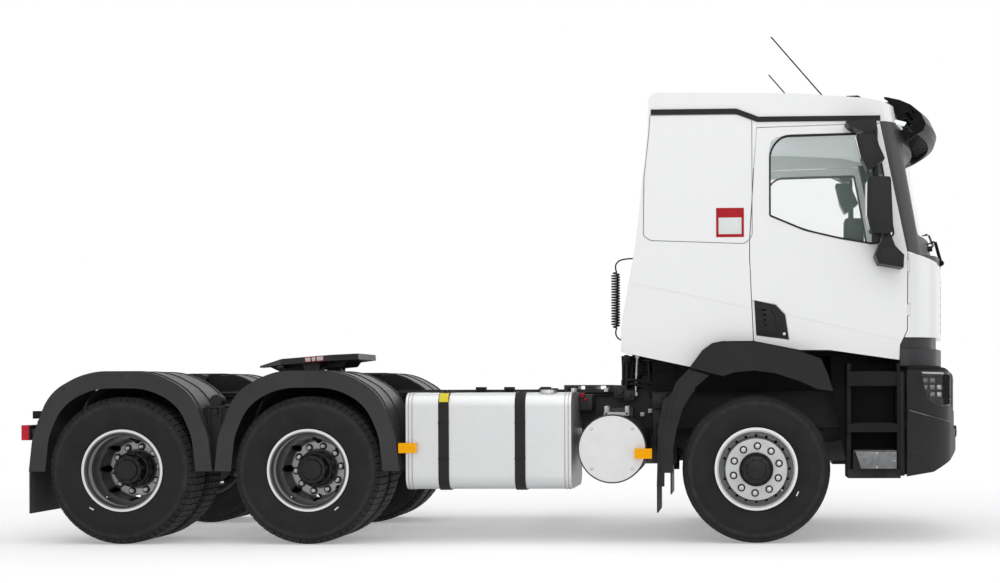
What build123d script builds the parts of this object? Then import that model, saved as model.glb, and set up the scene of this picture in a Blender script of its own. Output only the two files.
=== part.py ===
from build123d import *
import os
from math import asin, atan2, cos, degrees, hypot, radians, sin, tan

# Semi truck tractor unit, 6x4, sleeper cab. Millimetres, +X forward, +Y left, +Z up,
# origin on the ground under the middle of the overall box.

# ---- Driving dimensions ----
wheelbase = 3250
bogie_spacing = 1370
front_overhang = 1550
rear_overhang = 820
front_track = 2022
rear_track = 1830
twin_spacing = 350
tyre_radius = 538
tyre_width = 315
bead_radius = 286
kingpin_spread = 1700

rail_spread = 860          # over the outer faces of both rails
rail_depth = 300
rail_flange = 90
rail_web = 9
rail_top = 1119
crossmember_radius = 60

cab_half_width = 1150
cab_wall = 60
cab_bottom = 1280
cab_floor_bottom = 1396
cab_floor_thickness = 56
cab_rear = -974            # ahead of the front axle
cab_nose = 1440
panel_top = 2078           # top of the front panel, under the windscreen
windscreen_foot = 1345     # nose of the screen at screen_foot_height
screen_foot_height = 2264
screen_rake = 0.1826       # backward lean, mm per mm of height
roof_rear_height = 3262
pane = 10
glass_gap = 0.3

door_gap = 6
door_hinge = 1097
tilt_axis_x = 1300
tilt_axis_z = 1000
tilt_pin_radius = 32
running_gap = 0.5

bumper_top = 1248
bumper_wall = 70
body_half_width = 1245

tank_front = -1333
tank_rear = -2535
tank_bottom = 396
tank_top = 1096
tank_inner = 470
tank_outer = 1205
tank_corner = 95
strap_width = 76
strap_thickness = 8

silencer_x = -1042
silencer_z = 686
silencer_radius = 240
silencer_inner = 470
silencer_outer = 1150

guard_half_length = 676    # rear mudguard, from wheel centre to its end
guard_crown = 720          # rear mudguard, from wheel centre to its top
guard_sheet = 10
guard_lip = 120
guard_rib = 6              # height of the ribs along the top
guard_inner = 580
guard_outer = 1250
flap_thickness = 10

plate_pivot_x = -3450      # fifth wheel, ahead of the front axle
plate_pivot_z = 1270
plate_pitch = 4.5
plate_half_width = 455
plate_front = 345          # along the plate, from above the pivot
plate_rear = 453
plate_rise = 110           # top surface above the pivot
plate_thickness = 46
kingpin_radius = 25.4

# ---- Stations worked out from them ----
overall_length = front_overhang + wheelbase + bogie_spacing + rear_overhang
x_front_axle = overall_length / 2 - front_overhang
x_drive_1 = x_front_axle - wheelbase
x_drive_2 = x_drive_1 - bogie_spacing
x_rear = x_drive_2 - rear_overhang
rail_outer = rail_spread / 2
rail_bottom = rail_top - rail_depth
front_wheel_y = front_track / 2
twin_outer_y = (rear_track + twin_spacing) / 2
twin_inner_y = (rear_track - twin_spacing) / 2
kingpin_y = kingpin_spread / 2
axle_z = tyre_radius
disc_offset = twin_spacing / 2
door_inner = cab_half_width - cab_wall

pieces = {}


# ---- Small helpers ----
def ahead(points):
    """Move (x, z) points given from the front axle into the part's frame."""
    return [(x_front_axle + x, z) for x, z in points]


def outline(points, radius=0):
    if radius:
        return make_face(FilletPolyline(*points, radius=radius, close=True))
    return make_face(Polyline(*points, close=True))


def prism(points, y0, y1, radius=0):
    """Side outline of (x, z) points from y0 to y1."""
    return extrude(Plane.XZ.offset(-y0) * outline(points, radius), -(y1 - y0))


def slab(points, z0, z1, radius=0):
    """Plan outline of (x, y) points from z0 to z1."""
    return extrude(Pos(0, 0, z0) * outline(points, radius), z1 - z0)


def crosswise(points, x0, x1, radius=0):
    """Front outline of (y, z) points from x0 to x1."""
    return extrude(Plane.YZ.offset(x0) * outline(points, radius), x1 - x0)


def block(x0, x1, y0, y1, z0, z1):
    size = Box(abs(x1 - x0), abs(y1 - y0), abs(z1 - z0))
    return Pos((x0 + x1) / 2, (y0 + y1) / 2, (z0 + z1) / 2) * size


def rod_y(radius, x, z, y0, y1):
    return Pos(x, (y0 + y1) / 2, z) * Rot(90, 0, 0) * Cylinder(radius, abs(y1 - y0))


def rod_x(radius, y, z, x0, x1):
    return Pos((x0 + x1) / 2, y, z) * Rot(0, 90, 0) * Cylinder(radius, abs(x1 - x0))


def rod_z(radius, x, y, z0, z1):
    return Pos(x, y, (z0 + z1) / 2) * Cylinder(radius, abs(z1 - z0))


def turned(profile):
    """Turn (radius, y) points about the Y axis."""
    return revolve(make_face(Polyline(*profile, close=True)), Axis.Y)


def other_side(solid):
    return mirror(solid, about=Plane.XZ)


def pair(solid):
    return [solid, other_side(solid)]


def keep(name, *solids):
    pieces[name] = [part for solid in solids for part in solid.solids()]


# ---- Wheels ----
rim_half = 126
rim_lip = 300
rim_lip_thickness = 12
tyre_seat = 0.3


def tyre(y):
    bead_half = rim_half - rim_lip_thickness - tyre_seat
    half = tyre_width / 2
    # columns: radius, half width there
    section = [(bead_radius + tyre_seat, bead_half), (rim_lip + 2, bead_half), (410, half),
               (505, half * 0.93), (tyre_radius, half * 0.76)]
    profile = section + [(r, -width) for r, width in reversed(section)]
    return Pos(0, y, 0) * turned(profile)


rim_well = 262
disc_thickness = 14
hub_radius = 121
disc_gap = 2
twin_offset = disc_offset + disc_gap / 2


def rim_barrel():
    seat = rim_half - rim_lip_thickness
    profile = [(rim_lip, rim_half), (rim_lip, seat), (bead_radius, seat),
               (bead_radius, -seat), (rim_lip, -seat), (rim_lip, -rim_half),
               (rim_well + 10, -rim_half), (rim_well, -rim_half + 20),
               (rim_well, rim_half - 20), (rim_well + 10, rim_half)]
    return turned(profile)


def rim_disc():
    """Pressed disc, bulging towards +Y to its mounting face at the disc offset."""
    face = disc_offset
    profile = [(rim_well + 6, 40), (rim_well + 6, 40 + disc_thickness), (240, 60),
               (221, face), (hub_radius - 8, face), (hub_radius - 8, face - disc_thickness),
               (211, face - disc_thickness), (228, 40)]
    return turned(profile)


def ring_of(count, radius, start, tool):
    return [Rot(0, start + 360 * k / count, 0) * Pos(radius, 0, 0) * tool for k in range(count)]


def disc_wheel(hole_count, hole_radius, hole_circle):
    wheel = rim_barrel() + rim_disc()
    hole = rod_y(hole_radius, 0, 0, 0, disc_offset + 40)
    for tool in ring_of(hole_count, hole_circle, 0, hole):
        wheel -= tool
    return wheel


spindle_radius = 50
drum_radius = 205


def front_wheel():
    hub_inner = kingpin_y + 100 - front_wheel_y
    hub = turned([(spindle_radius + running_gap, hub_inner), (drum_radius, hub_inner),
                  (drum_radius, hub_inner + 150), (hub_radius - 8, hub_inner + 165),
                  (hub_radius - 8, disc_offset - disc_thickness), (hub_radius, disc_offset),
                  (hub_radius, disc_offset + 20), (95, disc_offset + 52), (0, disc_offset + 58),
                  (0, disc_offset - 30), (spindle_radius + running_gap, disc_offset - 30)])
    return disc_wheel(20, 11, 240) + hub


def twin_wheels():
    """Both rims back to back on one hub, with y = 0 midway between the tyres."""
    rear_disc = disc_wheel(8, 26, 212)
    inner = Pos(0, -twin_offset, 0) * rear_disc
    outer = Pos(0, twin_offset, 0) * Rot(0, 0, 180) * rear_disc
    hub = turned([(spindle_radius + running_gap, -260), (drum_radius, -260), (drum_radius, -100),
                  (hub_radius - 3, -80), (hub_radius - 3, 110), (90, 150), (0, 156), (0, 100),
                  (spindle_radius + running_gap, 100)])
    return inner + hub + outer


for side, label in ((1, "left"), (-1, "right")):
    spun = Rot(0, 0, 0 if side > 0 else 180)
    front = Pos(x_front_axle, side * front_wheel_y, axle_z)
    keep(f"front_rim_{label}", front * spun * front_wheel())
    keep(f"front_tyre_{label}", front * tyre(0))
    for number, x in ((1, x_drive_1), (2, x_drive_2)):
        place = Pos(x, side * rear_track / 2, axle_z)
        keep(f"drive_{number}_rims_{label}", place * spun * twin_wheels())
        tyres = [tyre(twin_offset), tyre(-twin_offset)]
        keep(f"drive_{number}_tyres_{label}", *[place * one for one in tyres])


# ---- Frame ----
rail_front = x_front_axle + 1330
rail_rear = x_rear + 130


def rails():
    section = [(rail_outer, rail_bottom), (rail_outer, rail_top), (rail_outer - rail_flange, rail_top),
               (rail_outer - rail_flange, rail_top - rail_web), (rail_outer - rail_web, rail_top - rail_web),
               (rail_outer - rail_web, rail_bottom + rail_web),
               (rail_outer - rail_flange, rail_bottom + rail_web), (rail_outer - rail_flange, rail_bottom)]
    return crosswise(section, rail_rear, rail_front)


keep("frame_rails", *pair(rails()))

web_inner = rail_outer - rail_web
crossmember_x = [x_drive_2 - 520, (x_drive_1 + x_drive_2) / 2, x_drive_1 + 700,
                 x_front_axle - 1250, rail_front - 120]
crossmembers = [rod_y(crossmember_radius, x, rail_bottom + rail_depth / 2, -web_inner, web_inner)
                for x in crossmember_x]
deck_rear = x_front_axle - 1475
deck_front = x_front_axle - 1110
deck_top = rail_top + 33
deck = block(deck_rear, deck_front, -rail_outer, rail_outer, deck_top - 5, deck_top)
for x in (deck_rear, (deck_rear + deck_front) / 2 - 20, deck_front - 40):
    deck += block(x, x + 40, -rail_outer, rail_outer, rail_top, deck_top - 4)
keep("frame_crossmembers", *crossmembers, deck)

engine_half = 325
engine = prism(ahead([(-200, 560), (900, 560), (900, 1330), (-60, 1330), (-200, 1240)]),
               -engine_half, engine_half)
gearbox = prism(ahead([(-190, 560), (-190, 1060), (-500, 1020), (-1000, 940), (-1000, 690), (-700, 560), (-500, 560)]),
                -250, 250)
radiator = block(x_front_axle + 960, x_front_axle + 1130, -320, 320, 600, 1230)
keep("engine_gearbox", engine + gearbox + block(x_front_axle + 899, x_front_axle + 961, -150, 150, 800, 1000)
     + radiator)


# ---- Front axle and steering ----
knuckle_height = 52        # half height of the beam's end boss
pin_radius = 24


def front_beam():
    top = axle_z + knuckle_height
    low = axle_z - knuckle_height
    half = [(-kingpin_y, top), (-700, top), (-560, top - 30), (560, top - 30), (700, top),
            (kingpin_y, top), (kingpin_y, low), (760, low), (600, low - 40), (-600, low - 40),
            (-760, low), (-kingpin_y, low)]
    beam = crosswise(half, x_front_axle - 48, x_front_axle + 48)
    for s in (1, -1):
        beam += rod_z(48, x_front_axle, s * kingpin_y, low, top)
        beam += rod_z(pin_radius, x_front_axle, s * kingpin_y, low - 50, top + 50)
    return beam


keep("front_axle", front_beam())

arm_back = 230             # steering arm, from the kingpin to the tie rod pin
arm_z = 424
tie_pin_radius = 14


def knuckle():
    """Left knuckle: fork round the axle end, spindle, steering arm and tie rod pin."""
    gap = running_gap
    top = axle_z + knuckle_height + gap
    low = axle_z - knuckle_height - gap
    x = x_front_axle
    y = kingpin_y
    fork = block(x - 45, x + 45, y - 40, y + 90, top, top + 36)
    fork += block(x - 45, x + 45, y - 40, y + 90, low - 36, low)
    fork += block(x - 45, x + 45, y + 52, y + 90, low - 36, top + 36)
    fork += rod_y(spindle_radius, x, axle_z, y + 89, front_wheel_y + disc_offset - 31)
    fork += rod_y(drum_radius - 50, x, axle_z, y + 50, y + 66)
    fork -= rod_z(pin_radius + gap, x, y, low - 60, top + 60)
    arm = prism([(x - arm_back - 26, arm_z - 16), (x - arm_back - 26, arm_z + 16),
                 (x - 60, low - 2), (x - 44, low - 2), (x - 44, low - 36), (x - 60, low - 36)],
                y - 24, y + 24)
    pin = rod_z(tie_pin_radius, x - arm_back, y, arm_z - 60, arm_z)
    return fork + arm + pin


keep("knuckle_left", knuckle())
keep("knuckle_right", other_side(knuckle()))

tie_z = arm_z - 40


def tie_rod():
    x = x_front_axle - arm_back
    rod = rod_y(20, x, tie_z, -kingpin_y + 18, kingpin_y - 18)
    for s in (1, -1):
        rod += rod_z(26, x, s * kingpin_y, tie_z - 18, tie_z + 18)
    for s in (1, -1):
        rod -= rod_z(tie_pin_radius + running_gap, x, s * kingpin_y, tie_z - 30, tie_z + 30)
    return rod


keep("tie_rod", tie_rod())


# ---- Drive axles ----
def drive_axle(x):
    tube = rod_y(82, x, axle_z, -rear_track / 2 + 300, rear_track / 2 - 300)
    for s in (1, -1):
        tube += rod_y(spindle_radius, x, axle_z, s * (rear_track / 2 - 301), s * (rear_track / 2 + 99))
    bowl = Pos(x, 0, axle_z) * Sphere(225)
    return tube + (bowl & block(x - 190, x + 300, -230, 230, 200, 900))


shaft_radius = 45
shafts = rod_x(shaft_radius, 0, axle_z + 60, x_drive_2 + 100, x_drive_1 - 100)
shaft_rise = 740 - axle_z - 60
front_shaft_length = hypot(wheelbase - 1000 - 100, shaft_rise)
shaft_angle = degrees(atan2(shaft_rise, wheelbase - 1000 - 100))
front_shaft = Pos(x_drive_1 + 100, 0, axle_z + 60) * Rot(0, -shaft_angle, 0) \
    * rod_x(shaft_radius, 0, 0, 0, front_shaft_length - 6)
keep("drive_axles", drive_axle(x_drive_1) + drive_axle(x_drive_2) + shafts + front_shaft)


# ---- Springs ----
bogie_x = (x_drive_1 + x_drive_2) / 2
spring_y0 = rail_outer + 12
spring_y1 = rail_outer + 102
spring_seat = axle_z + 82


def rear_spring():
    half = bogie_spacing / 2
    leaves = [(bogie_x - half - 60, spring_seat), (bogie_x - half + 60, spring_seat),
              (bogie_x - 160, spring_seat + 20), (bogie_x + 160, spring_seat + 20),
              (bogie_x + half - 60, spring_seat), (bogie_x + half + 60, spring_seat),
              (bogie_x + half + 60, spring_seat + 30), (bogie_x + half - 250, spring_seat + 100),
              (bogie_x + 140, spring_seat + 160), (bogie_x - 140, spring_seat + 160),
              (bogie_x - half + 250, spring_seat + 100), (bogie_x - half - 60, spring_seat + 30)]
    stack = prism(leaves, spring_y0, spring_y1)
    trunnion = prism([(bogie_x - 120, spring_seat - 90), (bogie_x + 120, spring_seat - 90),
                      (bogie_x + 200, rail_bottom + 200), (bogie_x - 200, rail_bottom + 200)],
                     rail_outer, rail_outer + 12)
    seat = block(bogie_x - 110, bogie_x + 110, spring_y0 - 1, spring_y1, spring_seat - 60, spring_seat + 21)
    return stack + trunnion + seat


front_spring_length = 1500


def front_spring():
    x = x_front_axle
    seat = axle_z + knuckle_height - 30
    half = front_spring_length / 2
    y0 = rail_outer - rail_flange + 2
    y1 = y0 + 80
    leaves = [(x - half, 740), (x - half, 700), (x - 300, seat + 30), (x - 120, seat), (x + 120, seat),
              (x + 300, seat + 30), (x + half, 700), (x + half, 740), (x + 160, seat + 90),
              (x - 160, seat + 90)]
    spring = prism(leaves, y0, y1)
    for end in (-half, half):
        spring += rod_y(36, x + end, 720, y0, y1)
        spring += block(x + end - 28, x + end + 28, y0, y1, 725, rail_bottom)
    return spring


keep("leaf_springs", *pair(rear_spring()), *pair(front_spring()))


# ---- Fifth wheel ----
mount_front = plate_pivot_x + 330
mount_rear = plate_pivot_x - 330
lug_y0 = 300
lug_y1 = 360
pivot_pin_radius = 30


def fifth_wheel_mount():
    base = block(x_front_axle + mount_rear, x_front_axle + mount_front, -rail_outer, rail_outer,
                 rail_top, rail_top + 14)
    x = x_front_axle + plate_pivot_x
    for s in (1, -1):
        lug = prism([(x - 150, rail_top + 13), (x + 150, rail_top + 13), (x + 45, plate_pivot_z + 20),
                     (x + 20, plate_pivot_z + 45), (x - 20, plate_pivot_z + 45),
                     (x - 45, plate_pivot_z + 20)], s * lug_y0, s * lug_y1)
        base += lug
        base += rod_y(pivot_pin_radius, x, plate_pivot_z, s * (lug_y0 - 60), s * (lug_y1 + 50))
    return base


keep("fifth_wheel_mount", fifth_wheel_mount())


def fifth_wheel_plate():
    """Built level about its pivot, then pitched: top plate, throat, rear ramps, ears."""
    top = plate_rise
    low = plate_rise - plate_thickness
    side = plate_half_width
    throat = 44
    plan = [(plate_front, -side + 170), (plate_front, side - 170), (plate_front - 170, side),
            (-plate_rear + 230, side), (-plate_rear, 250), (-plate_rear, 150), (-130, throat),
            (-130, -throat), (-plate_rear, -150), (-plate_rear, -250), (-plate_rear + 230, -side),
            (plate_front - 170, -side)]
    plate = slab(plan, low, top)
    # the throat is open to the rear and ends in the round seat of the kingpin
    plate -= Pos(0, 0, (low + top) / 2) * Cylinder(kingpin_radius, plate_thickness + 20)
    plate -= block(-140, 0, -kingpin_radius, kingpin_radius, low - 10, top + 10)
    ramp = prism([(-plate_rear - 10, top + 1), (-200, top + 1), (-plate_rear - 10, top - 34)], -side, side)
    plate -= ramp
    for s in (1, -1):
        rib = prism([(-380, low + 1), (240, low + 1), (200, low - 44), (-300, low - 44)], s * 215, s * 237)
        plate += rib + block(-250, 120, s * 236, s * (lug_y0 - 54), low - 24, low + 1)
    for s in (1, -1):
        for y0, y1 in ((lug_y0 - 56, lug_y0 - 12), (lug_y1 + 12, lug_y1 + 46)):
            ear = prism([(-70, low + 1), (70, low + 1), (44, -20), (20, -44), (-20, -44), (-44, -20)],
                        s * y0, s * y1)
            plate += ear
            plate -= rod_y(pivot_pin_radius + running_gap, 0, 0, s * (y0 - 6), s * (y1 + 6))
    return Pos(x_front_axle + plate_pivot_x, 0, plate_pivot_z) * Rot(0, -plate_pitch, 0) * plate


keep("fifth_wheel_plate", fifth_wheel_plate())


# ---- Fuel tank, straps, battery box, air tanks, silencer ----
def tank_section(grow):
    return [(-tank_inner + grow, tank_bottom - grow), (-tank_outer - grow, tank_bottom - grow),
            (-tank_outer - grow, tank_top + grow), (-tank_inner + grow, tank_top + grow)]


tank = crosswise(tank_section(0), x_front_axle + tank_rear, x_front_axle + tank_front, tank_corner)
filler = rod_z(60, x_front_axle + tank_front - 180, -tank_outer + 130, tank_top - 5, tank_top + 26)
keep("fuel_tank", tank + filler)

straps = []
for x in (tank_front - 370, tank_front - 926):
    x0 = x_front_axle + x - strap_width / 2
    loop = crosswise(tank_section(strap_thickness), x0, x0 + strap_width, tank_corner + strap_thickness)
    loop -= crosswise(tank_section(0), x0 - 1, x0 + strap_width + 1, tank_corner)
    bracket = block(x0, x0 + strap_width, -rail_outer, -tank_inner - 1, rail_bottom, rail_top - 140)
    straps.append(loop + (bracket - crosswise(tank_section(0), x0 - 1, x0 + strap_width + 1, tank_corner)))
keep("tank_straps", *straps)

battery_rear = -1950
battery_front = -1380
battery_outer = 1190
battery_x0 = x_front_axle + battery_rear
battery_x1 = x_front_axle + battery_front
battery = block(battery_x0, battery_x1, rail_outer + 60, battery_outer, 500, 1020)
battery += block(battery_x0 - 12, battery_x1 + 12, rail_outer + 60, battery_outer + 12, 1019, 1060)
battery += block(battery_x0 + 60, battery_x1 - 60, rail_outer, rail_outer + 61, rail_bottom + 20, rail_top - 60)
keep("battery_box", battery)

air_tank_radius = 138
air_tanks = []
for y, z in ((650, 760), (1000, 620)):
    bottle = rod_x(air_tank_radius, y, z, battery_x0 - 620, battery_x0 - 60)
    air_tanks.append(fillet(bottle.edges().filter_by(GeomType.CIRCLE), 60))
air_bracket = block(battery_x0 - 380, battery_x0 - 300, rail_outer, 520, 700, 860) \
    + block(battery_x0 - 380, battery_x0 - 300, 780, 880, 650, 730)
joined_tanks = air_tanks[0] + air_tanks[1] + air_bracket
joined_tanks += block(battery_x0 - 380, battery_x0 - 300, 700, 990, 660, 700)
keep("air_tanks", joined_tanks)

sx = x_front_axle + silencer_x
silencer = rod_y(silencer_radius, sx, silencer_z, -silencer_outer, -silencer_inner)
silencer += rod_y(silencer_radius + 10, sx, silencer_z, -silencer_outer + 40, -silencer_outer + 70)
silencer += block(sx - 110, sx + 110, -silencer_inner - 120, -rail_outer, silencer_z + 190, silencer_z + 290)
pipe_y = -silencer_inner - 60
pipe_z = silencer_z - 86
silencer += rod_x(50, pipe_y, pipe_z, sx + 150, sx + 420)
silencer += Pos(sx + 420, pipe_y, pipe_z) * Sphere(50)
silencer += rod_y(50, sx + 420, pipe_z, pipe_y, -251)
keep("exhaust_silencer", silencer)


# ---- Mudguards ----
def arch(x, reach, crown, foot, y0, y1, lip):
    """Quarter-round housing over a wheel at x, open below, with a side lip at y1."""
    def curve(inward):
        r = reach - inward
        c = crown - inward
        half = [(r, foot), (r - 28, 250), (r * 0.777, c * 0.79), (r * 0.377, c)]
        return [(x - dx, axle_z + dz) for dx, dz in half] + [(x + dx, axle_z + dz) for dx, dz in half[::-1]]
    radii = [0, 400, 350, 500, 500, 350, 400, 0]
    outer = prism(curve(0), y0, y1, radii)
    shell = outer - prism(curve(guard_sheet), y0 - 1, y1 - guard_sheet, radii)
    shell -= prism(curve(lip), y1 - guard_sheet - 1, y1 + 1, radii)
    for y in (y0, (y0 + y1) / 2 - 8, y1 - 70):
        rib = prism(curve(-guard_rib), y, y + 16, radii) - prism(curve(1), y - 1, y + 17, radii)
        shell += rib & block(x - reach, x + reach, y - 2, y + 20, axle_z + 320, axle_z + crown + 40)
    return shell


def rear_guard(x):
    guard = arch(x, guard_half_length, guard_crown, -4, guard_inner, guard_outer, guard_lip)
    stay = rod_y(24, x, axle_z + guard_crown - guard_sheet - 18, rail_outer, guard_inner + 40)
    post = block(x - 40, x + 40, rail_outer, rail_outer + 12, rail_top - 120, axle_z + guard_crown - guard_sheet)
    return guard + stay + post


def flap(x, y0, y1, z0, z1):
    return block(x - flap_thickness, x, y0, y1, z0, z1)


rear_guards = []
for x in (x_drive_1, x_drive_2):
    guard = rear_guard(x)
    if x == x_drive_2:
        guard += flap(x - guard_half_length + 4 + flap_thickness, guard_inner, guard_outer, 228, axle_z + 20)
    rear_guards += pair(guard)
keep("rear_mudguards", *rear_guards)


def front_guard():
    """Quarter housing behind the front wheel, with its flap and bracket."""
    outer = ahead([(-440, 1165), (-500, 1150), (-668, 1039), (-704, 822), (-716, 417), (-704, 417),
                   (-692, 822), (-656, 1032), (-490, 1136), (-440, 1150)])
    guard = prism(outer, 720, 1200)
    lip = ahead([(-440, 1165), (-500, 1150), (-668, 1039), (-704, 822), (-716, 417), (-660, 417),
                 (-655, 800), (-610, 985), (-470, 1090), (-440, 1095)])
    guard += prism(lip, 1200, 1212)
    guard += flap(x_front_axle - 705, 720, 1212, 229, 430)
    guard += rod_y(22, x_front_axle - 700, 930, rail_outer, 800)
    return guard


keep("front_mudguards", *pair(front_guard()))

# ---- Lamps ----
lamp_x = x_rear
tail_lamps = []
for s in (1, -1):
    lamp = block(lamp_x, lamp_x + 62, s * 620, s * 1060, 756, 868)
    arm = block(lamp_x + 60, lamp_x + 90, s * (rail_outer - 40), s * 1040, 800, 840)
    arm += block(lamp_x + 60, rail_rear, s * (rail_outer - 60), s * rail_outer, 800, 1000)
    tail_lamps.append(lamp + arm)
keep("rear_lamps", *tail_lamps)

marker_length = 125
marker_height = 72
# columns: rear end ahead of the front axle, face it sits on (signed y), bottom
marker_places = [(tank_rear - 45, -tank_outer, 663), (silencer_x + 166, -silencer_outer, 617),
                 (battery_rear + 60, battery_outer, 663), (battery_front - 180, battery_outer, 663)]
markers = []
for x, y, z in marker_places:
    out = 45 if y > 0 else -45
    markers.append(block(x_front_axle + x, x_front_axle + x + marker_length, y, y + out, z, z + marker_height))
keep("side_markers", *markers)


# ---- Bumper and headlamps ----
bumper_rear = 1076


def bumper_plan(inset):
    """Plan outline of the bumper: nose arc, corner arcs, straight ends; (x, y) from the front axle."""
    nose = front_overhang - inset
    side = body_half_width - inset
    shoulder = 930
    drop = 125
    corner = (1330 - inset * 0.7, 1140 - inset * 0.7)
    front = ThreePointArc((nose - drop, -shoulder), (nose, 0), (nose - drop, shoulder))
    left = ThreePointArc((nose - drop, shoulder), corner, (1150, side))
    right = ThreePointArc((1150, -side), (corner[0], -corner[1]), (nose - drop, -shoulder))
    back = Polyline((1150, side), (bumper_rear - inset, side), (bumper_rear - inset, -side), (1150, -side))
    return make_face(Wire([*front.edges(), *left.edges(), *back.edges(), *right.edges()]))


bumper_side = ahead([(1060, 483), (1270, 520), (1420, 600), (1500, 650), (1552, 700), (1552, 920),
                     (1527, 1052), (1473, 1205), (1440, 1230), (1360, bumper_top), (1060, bumper_top)])


def bumper_body(inset):
    body = extrude(Pos(x_front_axle, 0, 400) * bumper_plan(inset), bumper_top - 300)
    return body & prism(bumper_side, -body_half_width - 5, body_half_width + 5)


lamp_side = ahead([(1177, 1235), (1221, 1041), (1300, 985), (1600, 985), (1600, 1228)])
bumper_crease = ahead([(1060, 966), (1090, 962), (1401, 871), (1440, 820), (1600, 800), (1600, 400), (1060, 400)])
bumper_step = 12           # the upper part lies this far behind the lower one


def lamp_window(grow, y0, y1):
    """Opening of a headlamp in the bumper's corner, seen from the side."""
    face = outline(lamp_side)
    if grow:
        face = offset(face, grow, kind=Kind.INTERSECTION)
    return extrude(Plane.XZ.offset(-y0) * face, -(y1 - y0))


lamp_inner_y = 790
lower_part = bumper_body(0) & prism(bumper_crease, -body_half_width - 5, body_half_width + 5)
lower_part &= crosswise([(-body_half_width, 667), (-body_half_width + 50, 480), (body_half_width - 50, 480),
                         (body_half_width, 667), (body_half_width, 1300), (-body_half_width, 1300)],
                        x_front_axle + 1000, x_front_axle + 1700)
upper_part = bumper_body(bumper_step) & block(x_front_axle + bumper_rear, x_front_axle + 1700, -body_half_width,
                                              body_half_width, 700, 1300)
bumper_shell = lower_part + upper_part - bumper_body(bumper_wall)
bumper_shell -= block(x_front_axle + 1000, x_front_axle + bumper_rear + 1, -body_half_width + bumper_wall,
                      body_half_width - bumper_wall, 400, 1300)
for s in (1, -1):
    bumper_shell -= lamp_window(glass_gap, s * (lamp_inner_y - glass_gap), s * (body_half_width + 10))
intake = block(x_front_axle + 1300, x_front_axle + 1600, -640, 640, 940, 1160)
bumper_shell -= intake
tow_z = 790
tow_y = 480
tow_radius = 22
tow_depth = 120
tow_mouth = x_front_axle + 1520   # the bumper's face in front of the socket
for s in (1, -1):
    bumper_shell += block(rail_front + glass_gap, x_front_axle + 1475, s * (rail_outer - rail_flange),
                          s * rail_outer, rail_bottom + 10, rail_bottom + 110)
    bumper_shell += rod_x(tow_radius + 22, s * tow_y, tow_z, tow_mouth - tow_depth - 30, tow_mouth)
for s in (1, -1):
    bumper_shell -= rod_x(tow_radius, s * tow_y, tow_z, tow_mouth - tow_depth, tow_mouth + 100)
keep("front_bumper", bumper_shell)

lamps = []
lamp_band = bumper_body(bumper_step + 4) - bumper_body(bumper_wall - 8)
for s in (1, -1):
    lamps.append(lamp_band & lamp_window(0, s * lamp_inner_y, s * (body_half_width + 10)))
keep("headlamps", *lamps)


# ---- Steps ----
step_rear = 655
step_front = 1030


def steps():
    """Left step housing: back, front and rear plates, two treads and the lower step box."""
    x0 = x_front_axle + step_rear
    x1 = x_front_axle + step_front
    inner = 860
    outer = 1215
    housing = block(x0, x1, inner, inner + 16, 475, 1296)
    housing += block(x1 - 20, x1, inner, outer - 25, 475, 1296)
    housing += prism([(x0, 475), (x0 + 26, 475), (x0 + 26, 1296), (x0, 1296)], inner, outer - 60)
    housing += block(x0, x1, inner, outer - 40, 1135, 1235)
    housing += block(x0, x1, inner, outer - 20, 804, 863)
    housing += block(x0, x1, inner, outer, 475, 540)
    housing += block(x0 + 37, x1 - 27, inner, outer + 8, 539, 669)
    housing += block(x0 + 120, x1 - 120, rail_outer, inner + 1, 840, 940)
    return housing


keep("cab_steps", *pair(steps()))

# ---- Cab mounts ----
mount_x = -820
post_top = cab_floor_bottom - glass_gap


def cab_mount():
    x = x_front_axle + mount_x
    y = rail_outer - 50
    post = block(x - 60, x + 60, y - 50, y + 50, rail_top, rail_top + 90)
    post += rod_z(62, x, y, rail_top + 89, post_top - 20)
    post += rod_z(80, x, y, post_top - 21, post_top)
    return post


tilt_x = x_front_axle + tilt_axis_x
front_pins = rod_y(tilt_pin_radius, tilt_x, tilt_axis_z, rail_outer, rail_outer + 110)
keep("cab_mounts", *pair(cab_mount()), *pair(front_pins))


# ---- Cab shell ----
def cab_plan(nose, shoulder, drop, corner_x, bulge):
    """Plan outline of the cab: nose arc, corner arcs and straight sides; (x, y) from the front axle."""
    w = cab_half_width
    shoulder_x = nose - drop
    front = ThreePointArc((shoulder_x, -shoulder), (nose, 0), (shoulder_x, shoulder))
    middle = ((shoulder_x + corner_x) / 2 + bulge * 0.72, (shoulder + w) / 2 + bulge * 0.69)
    left = ThreePointArc((shoulder_x, shoulder), middle, (corner_x, w))
    right = ThreePointArc((corner_x, -w), (middle[0], -middle[1]), (shoulder_x, -shoulder))
    tail = Polyline((corner_x, w), (cab_rear - 200, w), (cab_rear - 200, -w), (corner_x, -w))
    return make_face(Wire([*front.edges(), *left.edges(), *tail.edges(), *right.edges()]))


def screen_nose(z):
    return windscreen_foot - screen_rake * (z - screen_foot_height)


def cab_block(inset):
    """Solid cab body shrunk by an inset; the inner one runs out through the bottom."""
    lower_z = cab_bottom - 10 if inset == 0 else cab_bottom - 300
    split_z = panel_top - inset * 0.7
    lower_face = cab_plan(cab_nose, 900, 109, 1095, 55)
    upper_face = cab_plan(screen_nose(split_z), 1000, 170, 1110, 22)
    if inset:
        lower_face = offset(lower_face, -inset)
        upper_face = offset(upper_face, -inset)
    lower = extrude(Pos(x_front_axle, 0, lower_z) * lower_face, split_z - lower_z)
    rise = 3500 - split_z
    upper = extrude(Pos(x_front_axle, 0, split_z - 1) * upper_face, rise * hypot(1, screen_rake),
                    dir=(-screen_rake, 0, 1))
    return lower + upper


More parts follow.
